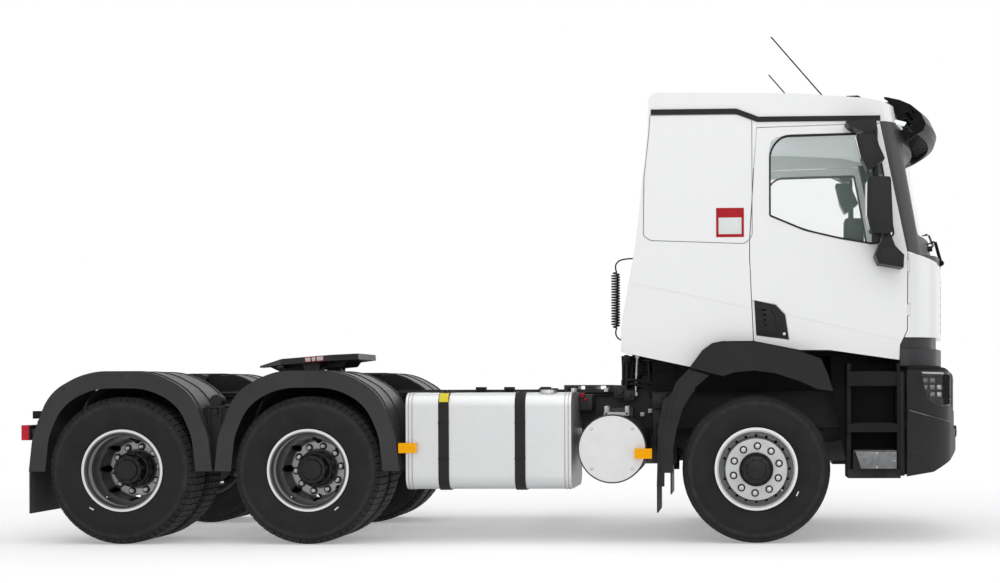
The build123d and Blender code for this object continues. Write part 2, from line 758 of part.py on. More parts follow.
cab_side_points = [(cab_rear, 1387), (cab_rear, 1580), (-868, 2160), (-778, 2960), (-768, roof_rear_height),
                   (300, 3244), (790, 3207), (1230, 3105), (1376, 3060), (1376, 2115), (cab_nose + 5, 2045),
                   (cab_nose + 5, cab_bottom), (1036, cab_bottom), (1036, 1321), (533, 1395), (318, 1396),
                   (-13, 1463), (-242, 1463), (-314, 1449), (-386, 1399), (-475, 1278)]
cab_side_radii = [0, 300, 600, 300, 60, 900, 500, 300, 0, 0, 0, 0, 0, 0, 0, 0, 0, 0, 0, 0, 0]
inner_side_points = [(cab_rear + cab_wall, 900), (cab_rear + cab_wall, 1580), (-868 + cab_wall, 2160),
                     (-778 + cab_wall, 2960), (-768 + cab_wall, roof_rear_height - cab_wall),
                     (300, 3244 - cab_wall), (790, 3207 - cab_wall), (1220, 3105 - cab_wall),
                     (1500, 3040 - cab_wall), (1500, 900)]
w = cab_half_width
cab_outer = cab_block(0) & prism(ahead(cab_side_points), -w - 5, w + 5, cab_side_radii)
cab_hollow = cab_block(cab_wall) & prism(ahead(inner_side_points), -w, w)
cab_shell = cab_outer - cab_hollow

# seam under the roof, columns: ahead of the front axle, height
roof_seam = [(cab_rear - 50, 3100), (-144, 3100), (15, 3040), (1500, 3036), (1500, 3600), (cab_rear - 50, 3600)]
roof_zone = prism(ahead(roof_seam), -w - 50, w + 50)

door_points = [(15, 2997), (-8, 2695), (-39, 2190), (-39, 2046), (-26, 1758), (-13, 1463), (318, 1396),
               (533, 1395), (1030, 1321), (1034, 1428), (1085, 1535), (1091, 2088), (898, 3020)]
front_zone_points = [(1030, 1200), (1034, 1428), (1085, 1535), (1091, 2088), (898, 3020), (870, 3200),
                     (1700, 3200), (1700, 1200)]
front_zone = prism(ahead(front_zone_points), -w - 50, w + 50)
window_points = [(99, 2362), (100, 2838), (120, 2920), (252, 2948), (869, 2959), (897, 2830), (1002, 2218),
                 (923, 2161), (837, 2151), (608, 2192), (357, 2252), (113, 2355)]
window_radii = [20, 60, 60, 60, 20, 60, 30, 40, 60, 100, 100, 10]


crease_points = [(-1200, 1953), (-654, 1834), (-41, 1700), (247, 1647), (1034, 1463), (1060, 1463), (1060, 1200),
                 (-1200, 1200)]
crease_depth = 4
crease = prism(ahead(crease_points), w - crease_depth, w + 20)
vent_points = [(-60, 1765), (147, 1728), (218, 1652), (246, 1464), (-60, 1508)]
vent_depth = 16
vent = prism(ahead(vent_points), w - vent_depth, w + 20)
panel_face = outline(ahead([(-808, 3120), (-812, 2225), (-761, 2189), (-75, 2162), (-20, 2215), (-20, 3120)]))
groove_width = 5
groove_depth = 3
panel_ring = panel_face - offset(panel_face, -groove_width)
panel_groove = extrude(Plane.XZ.offset(-(w - groove_depth)) * panel_ring, -30)


def door_zone(grow, y0, y1):
    face = outline(ahead(door_points))
    if grow:
        face = offset(face, grow, kind=Kind.INTERSECTION)
    return extrude(Plane.XZ.offset(-y0) * face, -(y1 - y0))


door_opening = door_zone(door_gap, door_inner - 20, w + 20)
hinge_y = w - 5
barrel_radius = 9
barrel_places = [(1640, 1720), (1960, 2040)]     # columns: lower end, upper end
for z0, z1 in barrel_places:
    door_opening += rod_z(barrel_radius + 2, x_front_axle + door_hinge, hinge_y, z0 - 5, z1 + 5)
roof = cab_shell & roof_zone
walls = cab_shell - roof_zone - door_opening - other_side(door_opening)
front = walls & front_zone
rest = walls - front_zone
keep("cab_roof", roof)
back = rest & block(x_front_axle - 1200, x_front_axle - 600, -door_inner, door_inner, 1200, 3300)
line_y = -300
gland_high = (x_front_axle - 930, 2135)
gland_low = (x_front_axle - 999, 1495)
for x, z in (gland_high, gland_low):
    back += rod_x(22, line_y, z, x, x + 70)
keep("cab_back", back)

side_left = rest & block(x_front_axle - 1200, x_front_axle + 1700, door_inner, w + 20, 1200, 3300)
side_left = side_left - crease - panel_groove
keep("cab_side_left", side_left)
keep("cab_side_right", other_side(side_left))

door = (cab_shell & door_zone(0, door_inner, w + 20)) - prism(ahead(window_points), door_inner - 10, w + 30,
                                                            window_radii)
for z0, z1 in barrel_places:
    door += block(x_front_axle + door_hinge - 20, x_front_axle + door_hinge, hinge_y - 5, w - 1, z0, z1)
    door += rod_z(barrel_radius, x_front_axle + door_hinge, hinge_y, z0, z1)
door = door - crease - vent
window = prism(ahead(window_points), w - 32, w - 32 + pane, window_radii)
for label, part, glass in (("left", door, window), ("right", other_side(door), other_side(window))):
    keep(f"door_{label}", part)
    keep(f"door_window_{label}", glass)

screen_points = [(-1030, 2230), (1030, 2230), (985, 2915), (-985, 2915)]
screen_cut = crosswise(screen_points, x_front_axle + 700, x_front_axle + 1600, 70)
grille_points = [(-640, 1530), (640, 1530), (600, 1950), (-600, 1950)]
grille_cut = crosswise(grille_points, x_front_axle + 1000, x_front_axle + 1700, 50)
band_top = 1484
band_cut = block(x_front_axle + 1000, x_front_axle + 1700, -w, w, 1000, band_top)
band_recess = block(x_front_axle + 1000, x_front_axle + 1700, -w, w, 1400, band_top) - cab_block(38)
grille_depth = 45
grille_pocket = grille_cut - cab_block(grille_depth)
keep("cab_front", front - screen_cut - grille_pocket - band_cut)


pane_depth = 14
pane_low = 2100
screen_plans = [offset(cab_plan(screen_nose(pane_low), 1000, 170, 1110, 22), -depth)
                for depth in (pane_depth, pane_depth + pane)]
screen_plan = screen_plans[0] - screen_plans[1]
screen_shell = extrude(Pos(x_front_axle, 0, pane_low) * screen_plan, 1000 * hypot(1, screen_rake),
                       dir=(-screen_rake, 0, 1))
keep("windscreen", screen_shell & screen_cut)
grille_shell = (cab_shell & front_zone) & grille_pocket
slats = []
slat_pitch = 64
grille_frame = grille_shell - crosswise([(-600, 1565), (600, 1565), (568, 1915), (-568, 1915)],
                                        x_front_axle + 1000, x_front_axle + 1700)
for k in range(5):
    z = 1592 + slat_pitch * k
    grille_frame += grille_shell & block(x_front_axle + 1000, x_front_axle + 1700, -601, 601, z, z + 34)
lower_band = ((cab_shell & front_zone) & band_cut) - band_recess
keep("front_grille", grille_frame + lower_band)


# ---- Cab floor with its tilt arms ----
floor_top = cab_floor_bottom + cab_floor_thickness
floor = block(x_front_axle + cab_rear + cab_wall + 1, x_front_axle + 1330, -door_inner + 4, door_inner - 4,
              cab_floor_bottom, floor_top)
floor = floor & cab_block(cab_wall + glass_gap)
floor += block(x_front_axle - 300, x_front_axle + 1000, -380, 380, floor_top - 1, floor_top + 220)
bunk_top = 1800
floor += block(x_front_axle - 860, x_front_axle - 330, -1080, 1080, floor_top - 1, bunk_top)
arm_y0 = rail_outer + 40
arm_y1 = rail_outer + 85
for s in (1, -1):
    arm_points = [(900, cab_floor_bottom + 1), (1220, cab_floor_bottom + 1),
                  (tilt_axis_x - 142, tilt_axis_z + 236), (tilt_axis_x + 44, tilt_axis_z + 22),
                  (tilt_axis_x + 30, tilt_axis_z - 40), (tilt_axis_x - 30, tilt_axis_z - 40),
                  (1045, tilt_axis_z + 190)]
    arm = prism(ahead(arm_points), s * arm_y0, s * arm_y1)
    arm -= rod_y(tilt_pin_radius + running_gap, tilt_x, tilt_axis_z, s * (arm_y0 - 5), s * (arm_y1 + 5))
    floor += arm
keep("cab_floor", floor)

# ---- Inside the cab ----
dash_points = [(1020, 1700), (1280, 1680), (1300, 2000), (1230, 2060), (1000, 2040), (960, 1960)]
dash = prism(ahead(dash_points), -door_inner + 30, door_inner - 30, 30)
dash += block(x_front_axle + 1040, x_front_axle + 1240, -380, 380, floor_top + 221, 1710)
dash = dash & cab_block(cab_wall + glass_gap)
keep("dashboard", dash)

wheel_x = 830
wheel_y = 585
wheel_z = 2010
wheel_tilt = 45


def steering_wheel():
    ring = Torus(225, 15)
    ring += Cylinder(60, 30)
    for a in (0, 120, 240):
        ring += Rot(0, 0, a) * block(40, 222, -14, 14, -8, 8)
    ring += Pos(0, 0, -90) * Cylinder(28, 163.5)
    return Pos(x_front_axle + wheel_x, wheel_y, wheel_z) * Rot(0, -wheel_tilt, 0) * ring


keep("steering_wheel", steering_wheel())

seat_width = 500


def seat(y):
    x = x_front_axle
    half = seat_width / 2
    cushion = prism(ahead([(60, 1860), (620, 1880), (640, 1960), (600, 1990), (160, 1960), (60, 1960)]),
                    y - half, y + half, 20)
    back = prism(ahead([(20, 1900), (180, 1900), (60, 2560), (-70, 2560)]), y - half + 20, y + half - 20, 30)
    head = prism(ahead([(-60, 2600), (50, 2600), (30, 2800), (-60, 2800)]), y - 140, y + 140, 30)
    stalk = block(x - 30, x + 10, y - 40, y + 40, 2550, 2610)
    foot = prism(ahead([(120, floor_top + glass_gap), (560, floor_top + glass_gap), (500, 1870), (160, 1870)]), y - 180, y + 180)
    return cushion + back + head + stalk + foot


keep("seats", seat(wheel_y), seat(-wheel_y))
mattress = block(x_front_axle - 820, x_front_axle - 340, -1060, 1060, bunk_top, bunk_top + 130)
keep("bunk_mattress", mattress)

# ---- Outside the cab ----
visor_radius = 2950
visor_half = 1040
visor_points = [(1133, 3232), (1234, 3209), (1310, 3176), (1380, 3115), (1416, 3036), (1398, 2985),
                (1354, 2959), (1350, 2973), (1387, 2998), (1401, 3036), (1368, 3105), (1302, 3162),
                (1230, 3194), (1133, 3217)]
visor_end_points = [(1133, 3232), (1234, 3209), (1310, 3176), (1380, 3115), (1416, 3036), (1398, 2985),
                    (1354, 2959), (1272, 2900), (1262, 2990), (1212, 3090), (1165, 3158)]
visor_slots = [[(1262, 3120), (1290, 3128), (1340, 3066), (1316, 3058)],
               [(1258, 3070), (1282, 3076), (1326, 3022), (1304, 3014)],
               [(1276, 3010), (1298, 3014), (1332, 2978), (1312, 2970)],
               [(1300, 3158), (1318, 3154), (1352, 3106), (1336, 3100)]]


def sun_visor():
    axis_x = x_front_axle + 1232 - visor_radius
    face = Plane.XZ * outline([(visor_radius - 1232 + x, z) for x, z in visor_points])
    sweep_half = degrees(asin(visor_half / visor_radius)) + 2
    body = revolve(Rot(0, 0, -sweep_half) * face, Axis.Z, 2 * sweep_half)
    return Pos(axis_x, 0, 0) * body & block(x_front_axle, x_front_axle + 1500, -visor_half, visor_half, 2900, 3300)


def set_back(y):
    """How far the visor's arc lies behind its nose at y."""
    return visor_radius - (visor_radius ** 2 - y ** 2) ** 0.5


def visor_bracket(y):
    points = [(1066, 3100), (1184, 3100), (1250, 3196), (1180, 3214), (1096, 3216)]
    return prism([(x_front_axle + x - set_back(y), z) for x, z in points], y - 12, y + 12)


def visor_end():
    y0 = visor_half - 14
    back = set_back(visor_half) - 6
    plate = prism([(x_front_axle + x - back, z) for x, z in visor_end_points], y0, visor_half)
    for slot in visor_slots:
        plate -= prism([(x_front_axle + x - back, z) for x, z in slot], y0 - 1, visor_half + 1)
    return plate - cab_outer


visor = sun_visor() + visor_end() + other_side(visor_end())
for y in (-900, -300, 300, 900):
    visor += visor_bracket(y) - cab_outer
keep("sun_visor", visor)

flare_inner = 700
flare_top = [(-470, 1270), (-386, 1390), (-314, 1439), (-242, 1453), (-6, 1453), (316, 1385), (465, 1330),
             (515, 1214), (550, 1099)]
flare_low = [(443, 1114), (315, 1172), (136, 1230), (-7, 1248), (-150, 1238), (-236, 1210)]
liner_low = [(-472, 1262), (-236, 1210), (-150, 1238), (-7, 1248), (136, 1230), (315, 1172), (443, 1114),
             (550, 1099)]


def flare():
    skirt = prism(ahead(flare_top + flare_low), w + 2, body_half_width - 5)
    liner = prism(ahead(liner_low + [(555, 1122), (450, 1140), (325, 1196), (140, 1255), (-7, 1272),
                                     (-155, 1263), (-232, 1236), (-468, 1286)]), flare_inner, w + 3)
    return skirt + liner


keep("arch_flares", *pair(flare()))

gutters = []
gutter_points = [(-752, 3101), (-144, 3101), (15, 3041), (900, 3041), (900, 3078), (25, 3078), (-134, 3138),
                 (-752, 3138)]
keep("roof_gutters", *pair(prism(ahead(gutter_points), w, w + 9)))

aerial_radius = 5
aerials = []
for s in (1, -1):
    foot = Vector(x_front_axle + 609, s * 700, 3190)
    tip = Vector(x_front_axle + 125, s * 700, 3754)
    run = tip - foot
    whip = Pos(*foot) * Rot(0, -degrees(atan2(-run.X, run.Z)), 0) * Pos(0, 0, run.length / 2) \
        * Cylinder(aerial_radius, run.length)
    base = prism(ahead([(590, 3200), (600, 3246), (648, 3266), (685, 3299), (770, 3302), (790, 3290),
                        (802, 3180)]), foot.Y - 40, foot.Y + 40)
    aerials.append((whip + base) - cab_outer)
keep("roof_aerials", *aerials)


# ---- Mirrors on the doors ----
mirror_outer = 1420


def mirrors():
    """Left mirrors: main and wide housings on two arms from the door."""
    main = prism(ahead([(791, 2606), (950, 2604), (966, 2216), (913, 2199), (808, 2217), (786, 2324)]),
                 1250, mirror_outer, 26)
    upper = prism(ahead([(710, 2910), (834, 2909), (912, 2731), (864, 2696), (793, 2644), (749, 2733)]),
                  1250, mirror_outer - 20, 14)
    pole = rod_z(16, x_front_axle + 850, 1330, 2150, 2960)
    low_arm = prism(ahead([(889, 2176), (844, 2061), (870, 1998), (1043, 1970), (1048, 2059), (986, 2122),
                           (951, 2212)]), w, 1352)
    high_arm = prism(ahead([(641, 3004), (747, 3016), (854, 3020), (862, 2957), (827, 2922), (774, 2922),
                            (667, 2973)]), w, 1352)
    return main + upper + pole + low_arm + high_arm


keep("mirrors_left", mirrors())
keep("mirrors_right", other_side(mirrors()))

# ---- Air line ----
line_radius = 6
coil_radius = 37
coil_x = x_front_axle - 1085
coil_top = 2040
coil_bottom = 1585
coil = rod_z(coil_radius, coil_x, line_y, coil_bottom, coil_top)
keep("air_line_coil", coil)


def lead(points):
    radii = []
    for before, corner, after in zip(points, points[1:], points[2:]):
        one = Vector(*corner) - Vector(*before)
        two = Vector(*after) - Vector(*corner)
        turn = radians(one.get_angle(two))
        radii.append(0.45 * min(one.length, two.length) / tan(turn / 2))
    path = FilletPolyline(*points, radius=radii)
    disc = Plane(origin=path @ 0, z_dir=path % 0) * Circle(line_radius)
    print("lead radii", [round(r) for r in radii], "length", round(path.length))
    return sweep(disc, path)


upper_lead = lead([(coil_x, line_y, coil_top), (coil_x, line_y, coil_top + 55),
                   (coil_x + 50, line_y, gland_high[1]), (gland_high[0], line_y, gland_high[1])])
lower_lead = lead([(coil_x, line_y, coil_bottom), (coil_x, line_y, coil_bottom - 50),
                   (coil_x + 36, line_y, gland_low[1]), (gland_low[0], line_y, gland_low[1])])
keep("air_line_leads", upper_lead, lower_lead)

os.makedirs("parts", exist_ok=True)
for name, solids in pieces.items():
    export_step(Compound(solids), f"parts/{name}.step")
print(len(pieces), "nodes")
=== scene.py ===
import math
import bmesh
import bpy
from mathutils import Matrix, Vector


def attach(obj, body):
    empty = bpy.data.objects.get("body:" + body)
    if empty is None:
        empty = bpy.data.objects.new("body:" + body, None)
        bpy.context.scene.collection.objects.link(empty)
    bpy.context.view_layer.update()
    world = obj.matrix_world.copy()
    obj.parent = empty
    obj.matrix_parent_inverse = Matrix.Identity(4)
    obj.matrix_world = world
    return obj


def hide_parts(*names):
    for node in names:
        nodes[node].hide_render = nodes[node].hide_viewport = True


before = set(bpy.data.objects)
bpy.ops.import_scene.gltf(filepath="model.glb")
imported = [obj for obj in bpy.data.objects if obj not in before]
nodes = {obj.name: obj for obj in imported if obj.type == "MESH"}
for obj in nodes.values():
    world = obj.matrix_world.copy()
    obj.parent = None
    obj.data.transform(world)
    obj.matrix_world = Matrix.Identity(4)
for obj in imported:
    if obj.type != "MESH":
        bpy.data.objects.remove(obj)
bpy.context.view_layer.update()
print("frame loaded:", len(nodes), "nodes")

# the truck's own stations, in metres: x of the front axle and of the two drive axles
stations = {"front": 1.945, "drive1": -1.305, "drive2": -2.675, "axleHeight": 0.538}

# camera
viewpoint = {"place": (1.892, -12.329, 1.117), "turn": 2.348, "roll": -0.216, "lens": 55.76,
             "shiftX": -0.1851, "shiftY": 0.0976}


def setCamera():
    lens = bpy.data.cameras.new("sideCamera")
    lens.lens = viewpoint["lens"]
    lens.sensor_width = 36
    lens.shift_x = viewpoint["shiftX"]
    lens.shift_y = viewpoint["shiftY"]
    lens.clip_end = 200
    camera = bpy.data.objects.new("sideCamera", lens)
    bpy.context.scene.collection.objects.link(camera)
    camera.matrix_world = (Matrix.Translation(viewpoint["place"])
                           @ Matrix.Rotation(math.radians(viewpoint["turn"]), 4, "Z")
                           @ Matrix.Rotation(math.radians(90), 4, "X")
                           @ Matrix.Rotation(math.radians(viewpoint["roll"]), 4, "Z"))
    bpy.context.scene.camera = camera


setCamera()
bpy.context.scene.view_settings.view_transform = "Standard"

# air line: out of the upper fitting, round the coil, back into the lower fitting
airLine = {"coilX": 0.860, "lineY": -0.300, "coilTop": 2.040, "coilLow": 1.585, "tube": 0.012,
           "turnRadius": 0.0305, "turns": 21, "perTurn": 14, "upperFitting": (1.015, 2.135),
           "lowerFitting": (0.946, 1.495)}


def airLineRoute():
    x, y = airLine["coilX"], airLine["lineY"]
    top, low = airLine["coilTop"], airLine["coilLow"]
    upper, lower = airLine["upperFitting"], airLine["lowerFitting"]
    points = [(upper[0], y, upper[1]), (x + 0.05, y, upper[1]), (x, y, top + 0.055), (x, y, top + 0.012)]
    steps = airLine["turns"] * airLine["perTurn"]
    for step in range(steps + 1):
        along = step / steps
        reach = airLine["turnRadius"] * min(1, 14 * along + 0.25, 14 * (1 - along) + 0.25)
        angle = 2 * math.pi * step / airLine["perTurn"]
        points.append((x + reach * math.cos(angle), y + reach * math.sin(angle),
                       top - 0.008 - (top - low - 0.016) * along))
    points += [(x, y, low - 0.012), (x, y, low - 0.05), (x + 0.036, y, lower[1]), (lower[0], y, lower[1])]
    return points


def makeAirLine():
    curve = bpy.data.curves.new("airLine", "CURVE")
    curve.dimensions = "3D"
    spline = curve.splines.new("NURBS")
    route = airLineRoute()
    spline.points.add(len(route) - 1)
    for point, place in zip(spline.points, route):
        point.co = (*place, 1)
    spline.order_u = 3
    spline.use_endpoint_u = True
    curve.resolution_u = 3
    curve.bevel_depth = airLine["tube"] / 2
    curve.bevel_resolution = 3
    curve.use_fill_caps = True
    line = bpy.data.objects.new("airLine", curve)
    bpy.context.scene.collection.objects.link(line)
    return line


def curveLength(line):
    plain = line.data.copy()
    plain.bevel_depth = 0
    ghost = bpy.data.objects.new("measure", plain)
    bpy.context.scene.collection.objects.link(ghost)
    bpy.context.view_layer.update()
    mesh = bpy.data.meshes.new_from_object(ghost)
    total = sum((mesh.vertices[e.vertices[0]].co - mesh.vertices[e.vertices[1]].co).length
                for e in mesh.edges)
    bpy.data.objects.remove(ghost)
    bpy.data.meshes.remove(mesh)
    return total


airLineObject = makeAirLine()
airLineLength = curveLength(airLineObject)
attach(airLineObject, "cab")
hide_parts("air_line_coil", "air_line_leads")
airLineRoute()[0]
print("air line:", round(airLineLength, 3), "m")

# finishes
finishes = {}


# a value on its way through a finish
class Flow:
    def __init__(self, finish, socket):
        self.finish = finish
        self.socket = socket

    def math(self, operation, other, turned=False):
        first, second = (other, self) if turned else (self, other)
        return self.finish.add("ShaderNodeMath", {"operation": operation}, {0: first, 1: second})

    def __add__(self, other):
        return self.math("ADD", other)

    def __radd__(self, other):
        return self.math("ADD", other, True)

    def __sub__(self, other):
        return self.math("SUBTRACT", other)

    def __rsub__(self, other):
        return self.math("SUBTRACT", other, True)

    def __mul__(self, other):
        return self.math("MULTIPLY", other)

    def __rmul__(self, other):
        return self.math("MULTIPLY", other, True)

    def __truediv__(self, other):
        return self.math("DIVIDE", other)

    def __pow__(self, other):
        return self.math("POWER", other)

    def over(self, limit):
        return self.math("GREATER_THAN", limit)

    def under(self, limit):
        return self.math("LESS_THAN", limit)

    def most(self, other):
        return self.math("MAXIMUM", other)

    def wave(self):
        return self.math("SINE", 0)

    # 0 at low, 1 at high, held inside
    def between(self, low, high):
        return self.finish.add("ShaderNodeMapRange", {"clamp": True},
                               {"Value": self, "From Min": low, "From Max": high})


class Finish:
    def __init__(self, name, **surface):
        self.name = name
        self.material = bpy.data.materials.new(name)
        self.material.use_nodes = True
        self.tree = self.material.node_tree
        self.tree.nodes.clear()
        self.shader = self.make("ShaderNodeBsdfPrincipled", {}, surface)
        self.output = self.make("ShaderNodeOutputMaterial", {},
                                {"Surface": Flow(self, self.shader.outputs[0])})

    def make(self, kind, settings, sockets):
        node = self.tree.nodes.new(kind)
        for key, value in settings.items():
            if key == "stops":
                for spare in list(node.color_ramp.elements)[1:]:
                    node.color_ramp.elements.remove(spare)
                node.color_ramp.elements[0].position = value[0][0]
                node.color_ramp.elements[0].color = (*value[0][1], 1)
                for place, shade in value[1:]:
                    node.color_ramp.elements.new(place).color = (*shade, 1)
            else:
                setattr(node, key, value)
        for key, value in sockets.items():
            if isinstance(value, Flow):
                self.tree.links.new(value.socket, node.inputs[key])
            elif isinstance(value, (tuple, list)) and len(value) == 3 and node.inputs[key].type == "RGBA":
                node.inputs[key].default_value = (*value, 1)
            else:
                node.inputs[key].default_value = value
        return node

    def add(self, kind, settings, sockets, output=0):
        return Flow(self, self.make(kind, settings, sockets).outputs[output])

    def place(self, scale=(1, 1, 1), shift=(0, 0, 0), turn=(0, 0, 0)):
        where = self.add("ShaderNodeTexCoord", {}, {}, "Object")
        return self.add("ShaderNodeMapping", {}, {"Vector": where, "Scale": scale, "Location": shift,
                                                  "Rotation": turn})

    def axes(self, where):
        parts = self.make("ShaderNodeSeparateXYZ", {}, {"Vector": where})
        return [Flow(self, parts.outputs[k]) for k in range(3)]

    def noise(self, where, scale, detail=3, rough=0.5):
        return self.add("ShaderNodeTexNoise", {}, {"Vector": where, "Scale": scale, "Detail": detail,
                                                   "Roughness": rough})

    def cells(self, where, scale):
        return self.add("ShaderNodeTexVoronoi", {}, {"Vector": where, "Scale": scale}, "Distance")

    def mix(self, share, first, second):
        sockets = {"Factor": share, 6: first, 7: second}
        return self.add("ShaderNodeMix", {"data_type": "RGBA"}, sockets, 2)

    def bump(self, height, depth, strength=1.0):
        return self.add("ShaderNodeBump", {}, {"Height": height, "Distance": depth, "Strength": strength})

    def surface(self, **sockets):
        names = {"colour": "Base Color", "roughness": "Roughness", "metallic": "Metallic",
                 "normal": "Normal",
                 "alpha": "Alpha", "coat": "Coat Weight", "glow": "Emission Color"}
        for key, value in sockets.items():
            socket = self.shader.inputs[names[key]]
            if isinstance(value, Flow):
                self.tree.links.new(value.socket, socket)
            else:
                socket.default_value = value
        finishes[self.name] = self.material


def wornFinish(name, shade, worn, roughness, spread, grainScale, grainDepth, patchScale=2.5, dustHeight=0,
               dust=(0.2, 0.19, 0.18), **surface):
    finish = Finish(name, **surface)
    where = finish.place()
    patches = finish.noise(where, patchScale, 5, 0.6)
    fine = finish.noise(where, grainScale, 2, 0.5)
    colour = finish.mix(patches.between(0.15, 0.85), shade, worn)
    if dustHeight:
        height = finish.axes(where)[2]
        low = (1 - height.between(0.1, dustHeight)) * finish.noise(where, 9, 6, 0.7).between(0.35, 0.75)
        colour = finish.mix(low * 0.35, colour, dust)
    finish.surface(colour=colour, roughness=patches * spread + (roughness - spread / 2),
                   normal=finish.bump(fine, grainDepth))


# columns: name, colour, worn colour, (roughness, its spread, grain scale, grain depth, patch scale,
# dust height), other settings
wornFinishes = [
    ("whitePaint", (0.80, 0.803, 0.81), (0.796, 0.799, 0.806), (0.28, 0.012, 900, 0.00003, 1.1, 0),
     {"Coat Weight": 0.6, "Coat Roughness": 0.06, "IOR": 1.5}),
    ("frameSteel", (0.022, 0.022, 0.024), (0.04, 0.04, 0.042), (0.45, 0.2, 420, 0.0004, 4, 0.9),
     {"Specular IOR Level": 0.25}),
    ("castIron", (0.035, 0.036, 0.038), (0.07, 0.07, 0.072), (0.6, 0.2, 260, 0.0012, 5, 0.8),
     {"Metallic": 0.35}),
    ("rubberTrim", (0.012, 0.012, 0.013), (0.02, 0.02, 0.021), (0.6, 0.15, 700, 0.0002, 2.5, 0),
     {"Specular IOR Level": 0.2}),
    ("cabTrim", (0.20, 0.215, 0.215), (0.16, 0.172, 0.175), (0.65, 0.1, 900, 0.0005), {}),
    ("darkTrim", (0.03, 0.031, 0.033), (0.045, 0.046, 0.048), (0.6, 0.12, 900, 0.0005), {}),
    ("hubBlack", (0.006, 0.006, 0.0065), (0.014, 0.014, 0.0145), (0.3, 0.14, 500, 0.0003, 12, 0),
     {"Specular IOR Level": 0.25}),
    ("markWhite", (0.82, 0.82, 0.8), (0.7, 0.7, 0.68), (0.55, 0.1, 900, 0.0002, 40), {}),
    ("signRed", (0.42, 0.004, 0.010), (0.35, 0.003, 0.008), (0.4, 0.08, 900, 0.0001, 20, 0),
     {"Specular IOR Level": 0.2}),
    ("signPale", (0.74, 0.76, 0.75), (0.66, 0.70, 0.69), (0.4, 0.08, 900, 0.0001, 18), {}),
    ("tagYellow", (0.80, 0.68, 0.03), (0.70, 0.58, 0.02), (0.45, 0.1, 900, 0.0001, 30), {}),
    ("galvanised", (0.60, 0.61, 0.62), (0.42, 0.43, 0.44), (0.4, 0.15, 300, 0.0004, 30, 0),
     {"Metallic": 0.7}),
    ("reflector", (0.80, 0.81, 0.82), (0.66, 0.67, 0.68), (0.36, 0.08, 300, 0.00002, 25, 0),
     {"Metallic": 1.0}),
    ("linerBlack", (0.01, 0.01, 0.0105), (0.017, 0.017, 0.0175), (0.62, 0.15, 500, 0.0006, 5, 0.8),
     {"Specular IOR Level": 0.1}),
    ("beadSteel", (0.34, 0.345, 0.35), (0.42, 0.425, 0.43), (0.4, 0.12, 500, 0.0003, 14, 0),
     {"Metallic": 0.8}),
    # the headliner lining glows a little: painted light inside the cab, where little lamp light reaches
    ("paleLiningPaintedGlow", (0.84, 0.875, 0.87), (0.78, 0.815, 0.81), (0.7, 0.1, 700, 0.0006, 2.5, 0),
     {"Emission Color": (0.84, 0.9, 0.9, 1), "Emission Strength": 0.28}),
    ("sealGrey", (0.16, 0.16, 0.165), (0.22, 0.22, 0.225), (0.6, 0.1, 900, 0.0002, 9), {}),
    # a lighter grey for the bead along the bumper crease: painted highlight
    ("creaseHighlightGrey", (0.10, 0.101, 0.104), (0.14, 0.141, 0.144), (0.35, 0.1, 700, 0.0002, 8), {}),
]
for name, shade, worn, numbers, settings in wornFinishes:
    wornFinish(name, shade, worn, *numbers, **settings)


def mouldedPlastic(name, shade, pale, roughness):
    finish = Finish(name, **{"Specular IOR Level": 0.14})
    where = finish.place()
    grain = finish.cells(where, 420)
    patches = finish.noise(where, 3, 5, 0.6)
    height = finish.axes(where)[2]
    film = (1 - height.between(0.2, 1.3)) * finish.noise(where, 7, 6, 0.65).between(0.3, 0.8)
    colour = finish.mix(patches.between(0.3, 0.75), shade, pale)
    colour = finish.mix(film * 0.14, colour, (0.1, 0.096, 0.09))
    finish.surface(colour=colour, roughness=patches * 0.14 + (roughness - 0.07),
                   normal=finish.bump(grain, 0.0004, 0.6))


mouldedPlastic("grainedPlastic", (0.015, 0.015, 0.0155), (0.023, 0.023, 0.0235), 0.48)
mouldedPlastic("guardPlastic", (0.036, 0.036, 0.036), (0.05, 0.05, 0.05), 0.42)
mouldedPlastic("mirrorPlastic", (0.017, 0.017, 0.018), (0.027, 0.027, 0.028), 0.42)


def glossyBlack():
    finish = Finish("glossBlack", **{"Specular IOR Level": 0.03})
    where = finish.place()
    smear = finish.noise(where, 14, 4, 0.6)
    colour = finish.mix(smear.between(0.4, 0.8), (0.006, 0.006, 0.007), (0.014, 0.014, 0.015))
    finish.surface(colour=colour, roughness=smear * 0.14 + 0.2,
                   normal=finish.bump(finish.noise(where, 60, 2), 0.0002))


glossyBlack()


def brushedAluminium():
    finish = Finish("brushedAluminium", **{"Metallic": 1.0})
    streak = finish.noise(finish.place((3, 160, 160)), 6, 4, 0.7)
    soft = finish.noise(finish.place(), 2.2, 4, 0.6)
    colour = finish.mix(streak.between(0.3, 0.75), (0.55, 0.555, 0.56), (0.68, 0.685, 0.69))
    colour = finish.mix(soft.between(0.45, 0.8) * 0.3, colour, (0.54, 0.55, 0.56))
    finish.surface(colour=colour, roughness=streak * 0.14 + soft * 0.1 + 0.32,
                   normal=finish.bump(streak, 0.0002))


brushedAluminium()


def aroundWheel(finish):
    x, y, z = finish.axes(finish.place())
    spacing = stations["drive1"] - stations["drive2"]
    station = x.over(-1.99) * spacing + x.over(0.3) * (stations["front"] - stations["drive1"])
    dx = x - (station + stations["drive2"])
    dz = z - stations["axleHeight"]
    return (dx * dx + dz * dz) ** 0.5, dz.math("ARCTAN2", dx), y


